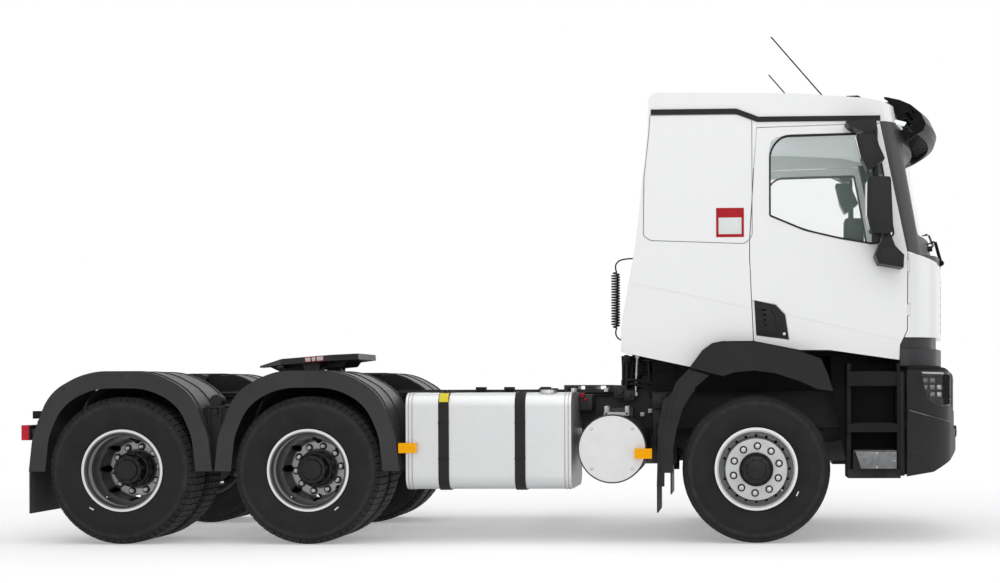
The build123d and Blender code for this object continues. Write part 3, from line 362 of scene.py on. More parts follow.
def wheelFinish():
    finish = Finish("wheelPaint", **{"Metallic": 0.55})
    reach, angle, y = aroundWheel(finish)
    where = finish.place()
    patches = finish.noise(where, 9, 6, 0.65)
    fine = finish.noise(where, 700, 2)
    lip = reach.over(0.2825)
    face = reach.under(0.2225)
    pale = finish.mix(patches.between(0.35, 0.75), (0.60, 0.605, 0.61), (0.46, 0.465, 0.47))
    steered = finish.axes(where)[0].over(0.3)
    # the dish is painted dark: painted shade in the deep dish, lighter but still shaded on the steered
    # wheels
    shadedDish = finish.mix(patches.between(0.3, 0.8), (0.12, 0.12, 0.122), (0.065, 0.065, 0.067))
    shadedDish = finish.mix(steered * 0.75, shadedDish, (0.30, 0.305, 0.31))
    outward = (y * y) ** 0.5
    depth = (steered * -0.08 + 1.2175) - outward
    wall = reach.over(0.2545) * (1 - lip) * (1 - depth.between(0.002, 0.13))
    ring = reach.over(0.243) * (1 - lip) * depth.over(0.036) * depth.under(0.092) * (1 - steered)
    colour = finish.mix(wall * steered, shadedDish, (0.62, 0.625, 0.63))
    colour = finish.mix(ring, colour, (0.68, 0.685, 0.69))
    # a dark line in the groove next to the lip: painted shade
    grooveShade = reach.over(0.2735) * reach.under(0.2815)
    colour = finish.mix(grooveShade * 0.6, colour, (0.16, 0.162, 0.165))
    flange = reach.between(0.146, 0.15) * reach.under(0.2)
    colour = finish.mix(face * (steered * 0.8 + flange * (1 - steered) * 0.75), colour, pale)
    colour = finish.mix(lip, colour, (0.72, 0.725, 0.73))
    # drive wheel discs darker close to the hub: painted shade deep inside the dish
    hubShade = (1 - (reach - 0.135).between(0, 0.02)) * 0.5
    colour = finish.mix(hubShade * (1 - steered), colour, (0.05, 0.048, 0.045))
    # faces nearer the middle than 0.88 are painted dark: painted shade on the inner sides between and behind
    # the wheels
    colour = finish.mix(outward.under(0.88) * 0.92, colour, (0.03, 0.03, 0.031))
    colour = finish.mix(reach.under(0.1225), colour, (0.009, 0.009, 0.0095))
    finish.surface(colour=colour, roughness=patches * 0.16 + 0.28, normal=finish.bump(fine, 0.0003))


wheelFinish()


def nutSteel():
    finish = Finish("nutSteel", **{"Metallic": 0.9})
    where = finish.place()
    patches = finish.noise(where, 60, 4, 0.6)
    colour = finish.mix(patches.between(0.3, 0.75), (0.62, 0.62, 0.61), (0.36, 0.355, 0.345))
    finish.surface(colour=colour, roughness=patches * 0.25 + 0.2,
                   normal=finish.bump(finish.noise(where, 600, 2), 0.0003))


nutSteel()


def tyreRubber():
    finish = Finish("tyreRubber", **{"Specular IOR Level": 0.15})
    reach, angle, y = aroundWheel(finish)
    where = finish.place()
    patches = finish.noise(where, 6, 6, 0.65)
    fine = finish.noise(where, 600, 2)
    band = reach.between(0.455, 0.472) * (1 - reach.between(0.486, 0.5))
    scuff = finish.noise(where, 16, 5, 0.7).between(0.35, 0.75)
    colour = finish.mix(patches.between(0.35, 0.8), (0.0135, 0.0135, 0.014), (0.024, 0.024, 0.0245))
    colour = finish.mix(band * scuff * 0.55, colour, (0.055, 0.055, 0.055))
    tread = reach.between(0.531, 0.5365)
    colour = finish.mix(tread * 0.6, colour, (0.045, 0.044, 0.043))
    dust = finish.noise(where, 5, 6, 0.7).between(0.45, 0.8) * reach.between(0.49, 0.53)
    colour = finish.mix(dust * 0.3, colour, (0.12, 0.115, 0.105))
    rings = ((reach * 900).wave() * 0.5 + 0.5) * reach.between(0.318, 0.33) * (1 - reach.between(0.352,
            0.362))
    ribs = ((angle * 190).wave() * 0.5 + 0.5) * reach.between(0.484, 0.492) * (1 - reach.between(0.503,
            0.51))
    finish.surface(colour=colour, roughness=patches * 0.16 + 0.55 - band * 0.08,
                   normal=finish.bump(rings * 0.6 + ribs * 1.2 + fine * 0.3, 0.0011))


tyreRubber()


def stepAluminium():
    finish = Finish("stepAluminium", **{"Metallic": 1.0})
    where = finish.place()
    dots = finish.cells(finish.place((1, 1, 1)), 55)
    dull = finish.noise(where, 30, 5, 0.65)
    colour = finish.mix(dull.between(0.3, 0.75), (0.20, 0.204, 0.207), (0.13, 0.133, 0.136))
    colour = finish.mix(dots.under(0.22) * 0.55, colour, (0.12, 0.12, 0.12))
    finish.surface(colour=colour, roughness=dull * 0.2 + 0.4, normal=finish.bump(dots, 0.001, 0.7))


stepAluminium()


def cabFrontFinish():
    finish = Finish("cabFront", **{"Coat Roughness": 0.06, "IOR": 1.5, "Specular IOR Level": 0.4})
    where = finish.place()
    x, y, z = finish.axes(where)
    dark = (z + (x - 3.046) * 0.295).over(2.099)
    patches = finish.noise(where, 1.2, 5, 0.6)
    grain = finish.cells(where, 420)
    fine = finish.noise(where, 900, 2)
    white = finish.mix(patches.between(0.35, 0.7), (0.80, 0.803, 0.81), (0.775, 0.778, 0.785))
    black = finish.mix(patches.between(0.3, 0.75), (0.026, 0.027, 0.029), (0.04, 0.041, 0.043))
    height = fine * (1 - dark) * 0.15 + grain * dark * 0.5
    finish.surface(colour=finish.mix(dark, white, black), coat=(1 - dark) * 0.6,
                   roughness=patches * 0.06 + 0.25 + dark * 0.14, normal=finish.bump(height, 0.0004))


cabFrontFinish()


def bandFinish():
    finish = Finish("frontBand", **{"Specular IOR Level": 0.3})
    where = finish.place()
    z = finish.axes(where)[2]
    slats = z.over(1.5)
    patches = finish.noise(where, 3, 5, 0.6)
    grain = finish.cells(where, 420)
    black = finish.mix(patches.between(0.3, 0.75), (0.024, 0.025, 0.027), (0.036, 0.037, 0.039))
    grey = finish.mix(patches.between(0.3, 0.75), (0.05, 0.052, 0.055), (0.07, 0.072, 0.075))
    finish.surface(colour=finish.mix(slats, black, grey), roughness=patches * 0.14 + 0.36,
                   normal=finish.bump(grain, 0.0003, 0.6))


bandFinish()


def silencerFinish():
    finish = Finish("silencerShell", **{"Coat Roughness": 0.1})
    where = finish.place()
    x, y, z = finish.axes(where)
    plate = y.under(-1.1415)
    patches = finish.noise(where, 8, 6, 0.65)
    heat = finish.noise(where, 3.5, 5, 0.6).between(0.35, 0.75)
    white = finish.mix(patches.between(0.35, 0.75), (0.79, 0.793, 0.80), (0.74, 0.743, 0.75))
    shell = finish.mix(patches.between(0.3, 0.75), (0.05, 0.05, 0.052), (0.085, 0.083, 0.08))
    shell = finish.mix(heat * 0.5, shell, (0.075, 0.058, 0.045))
    finish.surface(colour=finish.mix(plate, shell, white), metallic=(1 - plate) * 0.4,
                   roughness=patches * 0.14 + 0.36 - plate * 0.08,
                   normal=finish.bump(finish.noise(where, 350, 3), 0.0004))


silencerFinish()


def tailFinish():
    finish = Finish("tailLamps", **{"Coat Weight": 0.1, "Coat Roughness": 0.06, "Specular IOR Level": 0.2})
    where = finish.place()
    x, y, z = finish.axes(where)
    lens = x.under(-3.4345) * ((y * y).over(0.375)) * z.over(0.75)
    prism = finish.cells(where, 90)
    split = ((y * 16).wave()).over(0.97)
    red = finish.mix(prism.between(0.1, 0.7), (0.72, 0.01, 0.04), (0.60, 0.008, 0.03))
    red = finish.mix(x.over(-3.4445) * 0.7, red, (0.2, 0.006, 0.012))
    red = finish.mix(split * 0.8, red, (0.05, 0.004, 0.005))
    black = finish.mix(prism.between(0.2, 0.8), (0.018, 0.018, 0.019), (0.03, 0.03, 0.031))
    finish.surface(colour=finish.mix(lens, black, red), roughness=prism * 0.1 + 0.42 - lens * 0.22,
                   normal=finish.bump(prism, 0.0007))


tailFinish()


def tintedGlass(name, tint, alpha):
    finish = Finish(name, **{"Roughness": 0.02, "IOR": 1.45, "Coat Weight": 0.4, "Coat Roughness": 0.02})
    where = finish.place()
    haze = finish.noise(where, 1.5, 4, 0.6)
    colour = finish.mix(haze, tint, tuple(0.92 * c for c in tint))
    finish.surface(colour=colour, alpha=haze * 0.04 + alpha)


tintedGlass("windowGlass", (0.66, 0.86, 0.76), 0.035)
tintedGlass("lampGlass", (0.05, 0.052, 0.056), 0.35)


def lampPlastic(name, shade, deep, glow):
    finish = Finish(name, **{"Emission Strength": glow, "Specular IOR Level": 0.1})
    where = finish.place()
    prism = finish.cells(where, 90)
    colour = finish.mix(prism.between(0.1, 0.7), shade, deep)
    finish.surface(colour=colour, roughness=prism * 0.1 + 0.15, glow=colour,
                   normal=finish.bump(prism, 0.0008))


lampPlastic("amberLens", (0.93, 0.43, 0.0), (0.86, 0.35, 0.0), 0.06)


def wovenCloth(name, shade, dark):
    finish = Finish(name, **{"Sheen Weight": 0.3, "Roughness": 0.9})
    x, y, z = finish.axes(finish.place())
    warp = ((x + z) * 1400).wave() * ((y + z * 0.3) * 1400).wave()
    blotch = finish.noise(finish.place(), 18, 4, 0.6)
    colour = finish.mix(warp.between(-1, 1) * 0.5 + blotch * 0.5, dark, shade)
    finish.surface(colour=colour, roughness=blotch * 0.1 + 0.82, normal=finish.bump(warp, 0.0004))


wovenCloth("seatCloth", (0.20, 0.225, 0.225), (0.12, 0.135, 0.14))
wovenCloth("bunkCloth", (0.24, 0.25, 0.26), (0.15, 0.16, 0.17))

nodeFinish = {
    "castIron": ["engine_gearbox", "knuckle_left", "knuckle_right"],
    "frameSteel": ["frame_rails", "frame_crossmembers", "front_axle", "drive_axles", "leaf_springs",
                   "fifth_wheel_mount", "fifth_wheel_plate", "air_tanks", "cab_mounts", "tie_rod"],
    "brushedAluminium": ["fuel_tank"],
    "rubberTrim": ["tank_straps", "roof_gutters"],
    "grainedPlastic": ["battery_box", "front_mudguards", "front_bumper", "arch_flares"],
    "linerBlack": ["cab_steps"],
    "guardPlastic": ["rear_mudguards"],
    "darkTrim": ["cab_floor", "steering_wheel"],
    "cabFront": ["cab_front"],
    "frontBand": ["front_grille"],
    "silencerShell": ["exhaust_silencer"],
    "tailLamps": ["rear_lamps"],
    "mirrorPlastic": ["mirrors_left", "mirrors_right"],
    "cabTrim": ["dashboard"],
    "whitePaint": ["cab_back", "cab_side_left", "cab_side_right", "cab_roof", "door_left", "door_right"],
    "glossBlack": ["sun_visor", "roof_aerials"],
    "windowGlass": ["windscreen", "door_window_left", "door_window_right"],
    "lampGlass": ["headlamps"],
    "amberLens": ["side_markers"],
    "seatCloth": ["seats"],
    "bunkCloth": ["bunk_mattress"],
    "wheelPaint": ["front_rim_left", "front_rim_right", "drive_1_rims_left", "drive_1_rims_right",
                   "drive_2_rims_left", "drive_2_rims_right"],
    "tyreRubber": ["front_tyre_left", "front_tyre_right", "drive_1_tyres_left", "drive_1_tyres_right",
                   "drive_2_tyres_left", "drive_2_tyres_right"],
}


def coat(piece, finish):
    piece.data.materials.clear()
    piece.data.materials.append(finishes[finish])


for finishName, covered in nodeFinish.items():
    for nodeName in covered:
        coat(nodes[nodeName], finishName)
airLineObject.data.materials.append(finishes["rubberTrim"])
print("finishes on", sum(len(covered) for covered in nodeFinish.values()), "nodes")

# shape helpers
def linked(name, data):
    made = bpy.data.objects.new(name, data)
    bpy.context.scene.collection.objects.link(made)
    return made


def soften(mesh, geom, offset, segments=2, affect="EDGES"):
    bmesh.ops.bevel(mesh, geom=geom, offset=offset, segments=segments, profile=0.5, affect=affect,
                    material=-1)


# each edge once, in the same order on every run
def edgesOf(verts):
    return list(dict.fromkeys(edge for vert in verts for edge in vert.link_edges))


def thicken(mesh, faces, move):
    grown = bmesh.ops.extrude_face_region(mesh, geom=faces)["geom"]
    moved = [item for item in grown if isinstance(item, bmesh.types.BMVert)]
    bmesh.ops.translate(mesh, verts=moved, vec=move)
    return moved


def joinInto(mesh, part):
    held = bpy.data.meshes.new("held")
    part.to_mesh(held)
    part.free()
    mesh.from_mesh(held)
    bpy.data.meshes.remove(held)


def boxInto(mesh, low, high, soft=0.0):
    centre = [(a + b) / 2 for a, b in zip(low, high)]
    size = [abs(b - a) for a, b in zip(low, high)]
    made = bmesh.ops.create_cube(mesh, size=1, matrix=Matrix.Translation(centre) @ Matrix.Diagonal((*size,
            1)))
    if soft:
        edges = edgesOf(made["verts"])
        soften(mesh, edges, soft)


def rodInto(mesh, start, end, radius, sides=16, tip=None, soft=0.0):
    start, end = Vector(start), Vector(end)
    along = end - start
    turn = along.to_track_quat("Z", "Y").to_matrix().to_4x4()
    made = bmesh.ops.create_cone(mesh, cap_ends=True, segments=sides, radius1=radius,
                                 radius2=radius if tip is None else tip, depth=along.length,
                                 matrix=Matrix.Translation((start + end) / 2) @ turn)
    if soft:
        rims = [edge for edge in edgesOf(made["verts"]) if edge.is_manifold and edge.calc_face_angle() > 1.0]
        soften(mesh, rims, soft)


def outlineInto(mesh, points, low, high, axis="Y", soft=0.0):
    spread = {"Y": lambda a, b: (a, low, b), "X": lambda a, b: (low, a, b), "Z": lambda a,
              b: (a, b, low)}[axis]
    pull = {"Y": (0, high - low, 0), "X": (high - low, 0, 0), "Z": (0, 0, high - low)}[axis]
    corners = [mesh.verts.new(spread(*point)) for point in points]
    face = mesh.faces.new(corners)
    moved = thicken(mesh, [face], pull)
    if soft:
        edges = edgesOf(corners + moved)
        soften(mesh, edges, soft)


def turnedInto(mesh, profile, centre, steps=48, axis=(0, 1, 0)):
    axis = Vector(axis)
    out = axis.orthogonal().normalized()
    verts = [mesh.verts.new(Vector(centre) + out * radius + axis * along) for radius, along in profile]
    edges = [mesh.edges.new(pair) for pair in zip(verts, verts[1:])]
    bmesh.ops.spin(mesh, geom=verts + edges, cent=centre, axis=axis, angle=math.tau, steps=steps,
                   use_merge=True)


def piece(name, mesh, finish, body="chassis", slot=None, sharp=32):
    bmesh.ops.remove_doubles(mesh, verts=mesh.verts, dist=0.00001)
    bmesh.ops.recalc_face_normals(mesh, faces=mesh.faces)
    data = bpy.data.meshes.new(name)
    mesh.to_mesh(data)
    mesh.free()
    data.shade_smooth()
    data.set_sharp_from_angle(angle=math.radians(sharp))
    made = linked(name, data)
    data.materials.append(finishes[finish])
    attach(made, body)
    return made


def bothSides(mesh):
    bmesh.ops.mirror(mesh, geom=mesh.verts[:] + mesh.edges[:] + mesh.faces[:], axis="Y", merge_dist=-1)


# places given from the front axle
def ahead(points):
    return [(x + stations["front"], z) for x, z in points]


def frontAxleX(x):
    return x + stations["front"]


def fromAxle(point):
    return (frontAxleX(point[0]), point[1], point[2])


def aheadBox(mesh, low, high, soft=0.0):
    boxInto(mesh, fromAxle(low), fromAxle(high), soft)


def aheadRod(mesh, start, end, radius, sides=16, tip=None, soft=0.0):
    rodInto(mesh, fromAxle(start), fromAxle(end), radius, sides, tip, soft)


def frontWheelBody(side):
    return "front_wheel_" + side


def driveWheelBody(number, side):
    return f"drive_{number}_wheels_{side}"


# tyres
tyre = {"steps": 72, "coarseSteps": 64,
        # columns: radius, distance from the middle
        "sidewall": [(0.2875, 0.1128), (0.299, 0.1128), (0.3035, 0.116), (0.3055, 0.123), (0.312, 0.1265),
                     (0.316, 0.1325), (0.342, 0.1445), (0.347, 0.1475), (0.376, 0.1535), (0.380, 0.1556),
                     (0.412, 0.1568), (0.448, 0.1556), (0.452, 0.1542), (0.478, 0.1512), (0.482, 0.1526)],
        "steerTread": [(0.494, 0.1505), (0.499, 0.1462), (0.505, 0.1455), (0.509, 0.1475), (0.519, 0.1415),
                       (0.5285, 0.1325), (0.533, 0.1235), (0.5345, 0.0975), (0.5225, 0.0955),
                       (0.5225, 0.0885), (0.5355, 0.0865), (0.5365, 0.0445), (0.5235, 0.0425),
                       (0.5235, 0.0345), (0.537, 0.0325), (0.538, 0.0)],
        "driveTread": [(0.492, 0.1495), (0.5, 0.1435), (0.5215, 0.1195), (0.5235, 0.1165), (0.5245, 0.0685),
                       (0.5235, 0.0665), (0.5235, 0.0605), (0.5245, 0.0585), (0.525, 0.0045),
                       (0.5235, 0.0)],
        "lugGap": 0.0042, "lugRise": 0.0125}


def tyreInto(mesh, centre, tread, steps):
    half = tyre["sidewall"] + tyre[tread]
    profile = half + [(radius, -along) for radius, along in half[::-1] if along > 0]
    turnedInto(mesh, profile, centre, steps)


def raiseLugs(mesh, centre):
    def row(face):
        where = face.calc_center_median() - Vector(centre)
        return math.hypot(where.x, where.z), abs(where.y)
    chosen = []
    for face in mesh.faces:
        reach, across = row(face)
        wide = face.calc_area() > 0.0007
        if reach > 0.505 and wide and abs(row(face)[1] - 0.0635) > 0.006:
            chosen.append(face)
    bmesh.ops.recalc_face_normals(mesh, faces=mesh.faces)
    bmesh.ops.inset_individual(mesh, faces=chosen, thickness=tyre["lugGap"], depth=tyre["lugRise"],
                               use_even_offset=True)


def makeTyres(name, node, centres, tread, body):
    mesh = bmesh.new()
    for centre in centres:
        one = bmesh.new()
        tyreInto(one, centre, tread, tyre["steps"] if tread == "steerTread" else tyre["coarseSteps"])
        bmesh.ops.remove_doubles(one, verts=one.verts, dist=0.00001)
        if tread == "driveTread":
            raiseLugs(one, centre)
        joinInto(mesh, one)
    made = piece(name, mesh, "tyreRubber", body, "rubber", 28)
    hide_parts(node)


tyreMiddle = {"front": 1.011, "outer": 1.091, "inner": 0.739}
for side, sign in (("left", 1), ("right", -1)):
    spot = (stations["front"], sign * tyreMiddle["front"], stations["axleHeight"])
    makeTyres("frontTyre" + side.title(), "front_tyre_" + side, [spot], "steerTread", frontWheelBody(side))
    for number in (1, 2):
        spots = [(stations[f"drive{number}"], sign * tyreMiddle[which], stations["axleHeight"])
                 for which in ("outer", "inner")]
        makeTyres(f"driveTyres{number}{side.title()}", f"drive_{number}_tyres_{side}", spots, "driveTread",
                  driveWheelBody(number, side))
print("tyres ready")

# wheel nuts, hub caps and valves
wheelTrim = {"nuts": 10, "nutCircle": 0.169, "nutAcross": 0.0185, "nutLong": 0.026, "studRadius": 0.011,
             "collarRadius": 0.028}


def ringPlaces(count, radius, start=0.0):
    return [(radius * math.cos(start + math.tau * k / count),
             radius * math.sin(start + math.tau * k / count))
            for k in range(count)]


def wheelPoint(centre, out, reachX, reachZ, along):
    return (centre[0] + reachX, centre[1] + out * along, centre[2] + reachZ)


def nutsInto(mesh, centre, out, face, start):
    for a, b in ringPlaces(wheelTrim["nuts"], wheelTrim["nutCircle"], start):
        spot = lambda along: wheelPoint(centre, out, a, b, along)
        rodInto(mesh, spot(face + 0.004), spot(face + wheelTrim["nutLong"]), wheelTrim["nutAcross"], 6,
                soft=0.002)
        rodInto(mesh, spot(face + 0.02), spot(face + 0.036), wheelTrim["studRadius"], 12, soft=0.002)


def hubBoltsInto(mesh, centre, out, face, circle, count, radius):
    for a, b in ringPlaces(count, circle, 0.3):
        rodInto(mesh, wheelPoint(centre, out, a, b, face - 0.004), wheelPoint(centre, out, a, b,
                face + 0.012),
                radius, 6, soft=0.0015)


def makeWheelTrim(name, centre, out, body, steered):
    face = 0.175 if steered else 0.015
    mesh = bmesh.new()
    nutsInto(mesh, centre, out, face, 0.26 if steered else 0.1)
    piece("wheelNuts" + name, mesh, "nutSteel", body)
    mesh = bmesh.new()
    for a, b in ringPlaces(wheelTrim["nuts"], wheelTrim["nutCircle"], 0.26 if steered else 0.1):
        rodInto(mesh, wheelPoint(centre, out, a, b, face - 0.002), wheelPoint(centre, out, a, b,
                face + 0.005),
                wheelTrim["collarRadius"], 20, soft=0.001)
    piece("nutCollars" + name, mesh, "hubBlack", body)
    mesh = bmesh.new()
    if steered:
        turnedInto(mesh, [(0.1215, 0.187), (0.1215, 0.198), (0.113, 0.201), (0.106, 0.2055),
                          (0.096, 0.2285),
                          (0.072, 0.2335), (0.066, 0.2405), (0.055, 0.2425), (0.0, 0.2425)],
                   centre, 40, (0, out, 0))
        hubBoltsInto(mesh, centre, out, 0.2285, 0.083, 8, 0.0085)
    else:
        turnedInto(mesh, [(0.1315, 0.04), (0.1315, 0.112), (0.126, 0.118), (0.111, 0.121), (0.108, 0.186),
                          (0.101, 0.199), (0.078, 0.203), (0.072, 0.214), (0.044, 0.219), (0.0, 0.219)],
                   centre, 40, (0, out, 0))
        hubBoltsInto(mesh, centre, out, 0.117, 0.1205, 12, 0.006)
        hubBoltsInto(mesh, centre, out, 0.199, 0.0895, 8, 0.0085)
        for a, b in ringPlaces(8, 0.0995, 0.15):
            rodInto(mesh, wheelPoint(centre, out, a, b, 0.115), wheelPoint(centre, out, a, b, 0.190), 0.015,
                    8,
                    soft=0.003)
    piece("hubCap" + name, mesh, "hubBlack", body)
    mesh = bmesh.new()
    a, b = (0.19, -0.16) if steered else (-0.15, -0.205)
    rodInto(mesh, wheelPoint(centre, out, a, b, 0.06 if steered else 0.122),
            wheelPoint(centre, out, a * 0.97, b * 0.97, 0.118 if steered else 0.21), 0.0045, 8)
    rodInto(mesh, wheelPoint(centre, out, a * 0.97, b * 0.97, 0.112 if steered else 0.204),
            wheelPoint(centre, out, a * 0.965, b * 0.965, 0.13 if steered else 0.222), 0.0062, 10,
            soft=0.001)
    piece("valve" + name, mesh, "nutSteel", body)


for side, sign in (("left", 1), ("right", -1)):
    hub = (stations["front"], sign * tyreMiddle["front"], stations["axleHeight"])
    makeWheelTrim("Front" + side.title(), hub, sign, frontWheelBody(side), True)
    for number in (1, 2):
        hub = (stations[f"drive{number}"], sign * 0.915, stations["axleHeight"])
        makeWheelTrim(f"Drive{number}{side.title()}", hub, sign, driveWheelBody(number, side), False)
print("wheel trim ready")


# white mounting marks on the tyres
# columns: station, side, angle in degrees, reach from the axle, body, slant in degrees
tyreMarks = [("front", -1, -31, 0.345, "right", 64), ("drive1", -1, -52, 0.35, "right", 40),
             ("drive2", -1, 232, 0.35, "right", -28), ("front", 1, 200, 0.345, "left", 64),
             ("drive1", 1, 310, 0.352, "left", 40)]


def makeTyreMarks():
    for number, (station, out, angle, reach, side, slant) in enumerate(tyreMarks):
        middle = tyreMiddle["front"] if station == "front" else tyreMiddle["outer"]
        spin = math.radians(angle)
        spot = Vector((stations[station] + reach * math.cos(spin), out * (middle + 0.1481),
                       stations["axleHeight"] + reach * math.sin(spin)))
        mesh = bmesh.new()
        boxInto(mesh, (-0.018, -0.0022, -0.0045), (0.018, 0.0022, 0.0045), 0.001)
        turn = Matrix.Rotation(-math.radians(slant), 4, "Y")
        bmesh.ops.transform(mesh, matrix=Matrix.Translation(spot) @ turn, verts=mesh.verts)
        body = frontWheelBody(side) if station == "front" else driveWheelBody(int(station[-1]), side)
        piece(f"tyreMark{number}", mesh, "markWhite", body)


makeTyreMarks()


# padded seats and mattress
padding = {"push": 4.0, "stiffness": 12, "bending": 0.6, "frames": 20, "fill": 0.7,
           # columns: largest move, voxel, height it is cut at
           "seats": (0.026, 0.015, 1.866), "mattress": (0.02, 0.016, 1.0)}


def puff(copied, cap):
    before = [vert.co.copy() for vert in copied.data.vertices]
    cloth = copied.modifiers.new("fill", "CLOTH")
    cloth.settings.use_pressure = True
    cloth.settings.uniform_pressure_force = padding["push"]
    cloth.settings.effector_weights.gravity = 0
    cloth.settings.tension_stiffness = padding["stiffness"]
    cloth.settings.compression_stiffness = padding["stiffness"]
    cloth.settings.bending_stiffness = padding["bending"]
    cloth.point_cache.frame_start = 1
    cloth.point_cache.frame_end = padding["frames"]
    scene = bpy.context.scene
    for step in range(1, padding["frames"] + 1):
        scene.frame_set(step)
    ready = copied.evaluated_get(bpy.context.evaluated_depsgraph_get())
    after = [vert.co.copy() for vert in ready.data.vertices]
    copied.modifiers.clear()
    for vert, old, new in zip(copied.data.vertices, before, after):
        move = new - old
        vert.co = old + move * min(1, cap / max(move.length, 0.000001))
    scene.frame_set(1)


def makePadded(name, node, finish, cap, voxel, floor):
    data = nodes[node].data.copy()
    mesh = bmesh.new()
    mesh.from_mesh(data)
    bmesh.ops.remove_doubles(mesh, verts=mesh.verts, dist=0.00005)
    cut = bmesh.ops.bisect_plane(mesh, geom=mesh.verts[:] + mesh.edges[:] + mesh.faces[:], dist=0.00001,
                                 plane_co=(0, 0, floor), plane_no=(0, 0, 1), clear_inner=True)
    rim = [item for item in cut["geom_cut"] if isinstance(item, bmesh.types.BMEdge)]
    bmesh.ops.holes_fill(mesh, edges=rim, sides=0)
    mesh.to_mesh(data)
    mesh.free()
    soft = linked(name, data)
    rebuilt = soft.modifiers.new("rebuilt", "REMESH")
    rebuilt.mode = "VOXEL"
    rebuilt.voxel_size = voxel
    ready = bpy.data.meshes.new_from_object(soft.evaluated_get(bpy.context.evaluated_depsgraph_get()))
    soft.modifiers.clear()
    soft.data = ready
    puff(soft, cap)
    mesh = bmesh.new()
    mesh.from_mesh(soft.data)
    for turn in range(3):
        bmesh.ops.smooth_vert(mesh, verts=mesh.verts, factor=0.5, use_axis_x=True, use_axis_y=True,
                              use_axis_z=True)
    mesh.to_mesh(soft.data)
    mesh.free()
    soft.data.materials.clear()
    soft.data.materials.append(finishes[finish])
    soft.data.shade_smooth()
    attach(soft, "cab")
    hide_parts(node)
    finer = soft.modifiers.new("finer", "SUBSURF")
    finer.levels = finer.render_levels = 1
    return soft


def makeSeatFrames():
    mesh = bmesh.new()
    for y in (-0.585, 0.585):
        boxInto(mesh, (2.075, y - 0.17, 1.4525), (2.495, y + 0.17, 1.53), 0.012)
        boxInto(mesh, (2.13, y - 0.12, 1.52), (2.43, y + 0.12, 1.80), 0.02)
        for dy in (-0.15, 0.15):
            boxInto(mesh, (2.06, y + dy - 0.02, 1.795), (2.5, y + dy + 0.02, 1.863), 0.006)
        for dy in (-0.05, 0.05):
            rodInto(mesh, (1.935, y + dy, 2.545), (1.938, y + dy, 2.63), 0.007, 10)
    frames = piece("seatFrames", mesh, "darkTrim", "cab")
    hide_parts("seats")


makeSeatFrames()
seatObject = makePadded("seatsPadded", "seats", "seatCloth", *padding["seats"])
mattressObject = makePadded("mattressPadded", "bunk_mattress", "bunkCloth", *padding["mattress"])
print("padding:", len(seatObject.data.polygons), len(mattressObject.data.polygons), "faces")


# window seals on the doors
seal = {"outset": 0.0145, "inset": 0.013, "doorFace": 1.1495, "proud": 0.0045, "glassFace": 1.1188,
        # columns: x from the front axle, height, corner length
        "corners": [(0.099, 2.362, 0.012), (0.100, 2.86, 0.075), (0.20, 2.9445, 0.04), (0.869, 2.959, 0.02),
                    (0.897, 2.830, 0.03), (1.002, 2.218, 0.028), (0.923, 2.161, 0.03), (0.837, 2.151, 0.04),
                    (0.608, 2.192, 0.06), (0.357, 2.252, 0.06)]}


def roundedFace(mesh, corners, y):
    verts = [mesh.verts.new((frontAxleX(x), y, z)) for x, z, corner in corners]
    face = mesh.faces.new(verts)
    for vert, (x, z, corner) in zip(verts, corners):
        soften(mesh, [vert], corner, 5, "VERTICES")
    return mesh.faces[:][0] if not face.is_valid else face


def makeSeal(name, sign, body):
    mesh = bmesh.new()
    roundedFace(mesh, seal["corners"], sign * (seal["doorFace"] + seal["proud"]))
    middle = mesh.faces[:]
    settings = {"use_boundary": True, "use_even_offset": True}
    bmesh.ops.inset_region(mesh, faces=middle, thickness=seal["outset"], use_outset=True, **settings)
    bmesh.ops.inset_region(mesh, faces=middle, thickness=seal["inset"], **settings)
    bmesh.ops.delete(mesh, geom=middle, context="FACES")
    thicken(mesh, mesh.faces[:], (0, sign * (seal["glassFace"] - seal["doorFace"]), 0))
    piece(name, mesh, "rubberTrim", body)


makeSeal("windowSealLeft", 1, "door_left")
makeSeal("windowSealRight", -1, "door_right")

# black pressing in each door's recess, with its pull and louvres
doorPressing = {"back": 1.1335, "front": 1.1445,
                "outline": [(-0.010, 1.7555), (0.144, 1.7215), (0.212, 1.6495), (0.2385, 1.4715),
                            (0.004, 1.5025)],
                "facet": [(0.030, 1.728), (0.128, 1.706), (0.172, 1.652), (0.188, 1.498), (0.075, 1.513)],
                "pull": [(0.108, 1.69), (0.14, 1.683), (0.166, 1.648), (0.176, 1.53), (0.15, 1.532),
                         (0.142, 1.638)]}


def makeDoorPressing(name, sign, body):
    mesh = bmesh.new()
    lift = lambda depth: sign * (doorPressing["back"] + depth)
    outlineInto(mesh, ahead(doorPressing["outline"]), lift(0), lift(0.008), soft=0.002)
    outlineInto(mesh, ahead(doorPressing["facet"]), lift(0.006), lift(0.0115), soft=0.003)
    outlineInto(mesh, ahead(doorPressing["pull"]), lift(0.010), lift(0.0185), soft=0.003)
    for k in range(5):
        z = 1.535 + 0.036 * k
        aheadBox(mesh, (0.012, lift(0.006), z), (0.078, lift(0.0115), z + 0.014), 0.002)
    piece(name, mesh, "grainedPlastic", body)
    mesh = bmesh.new()
    aheadRod(mesh, (0.205, lift(0.006), 1.512), (0.205, lift(0.0125), 1.512), 0.011, 20,
            soft=0.001)
    piece(name + "Lock", mesh, "galvanised", body)


makeDoorPressing("doorPressingLeft", 1, "door_left")
makeDoorPressing("doorPressingRight", -1, "door_right")

# blank red sign on the right side
sign = {"low": (-0.283, 2.212), "high": (-0.082, 2.423), "face": 1.1502}


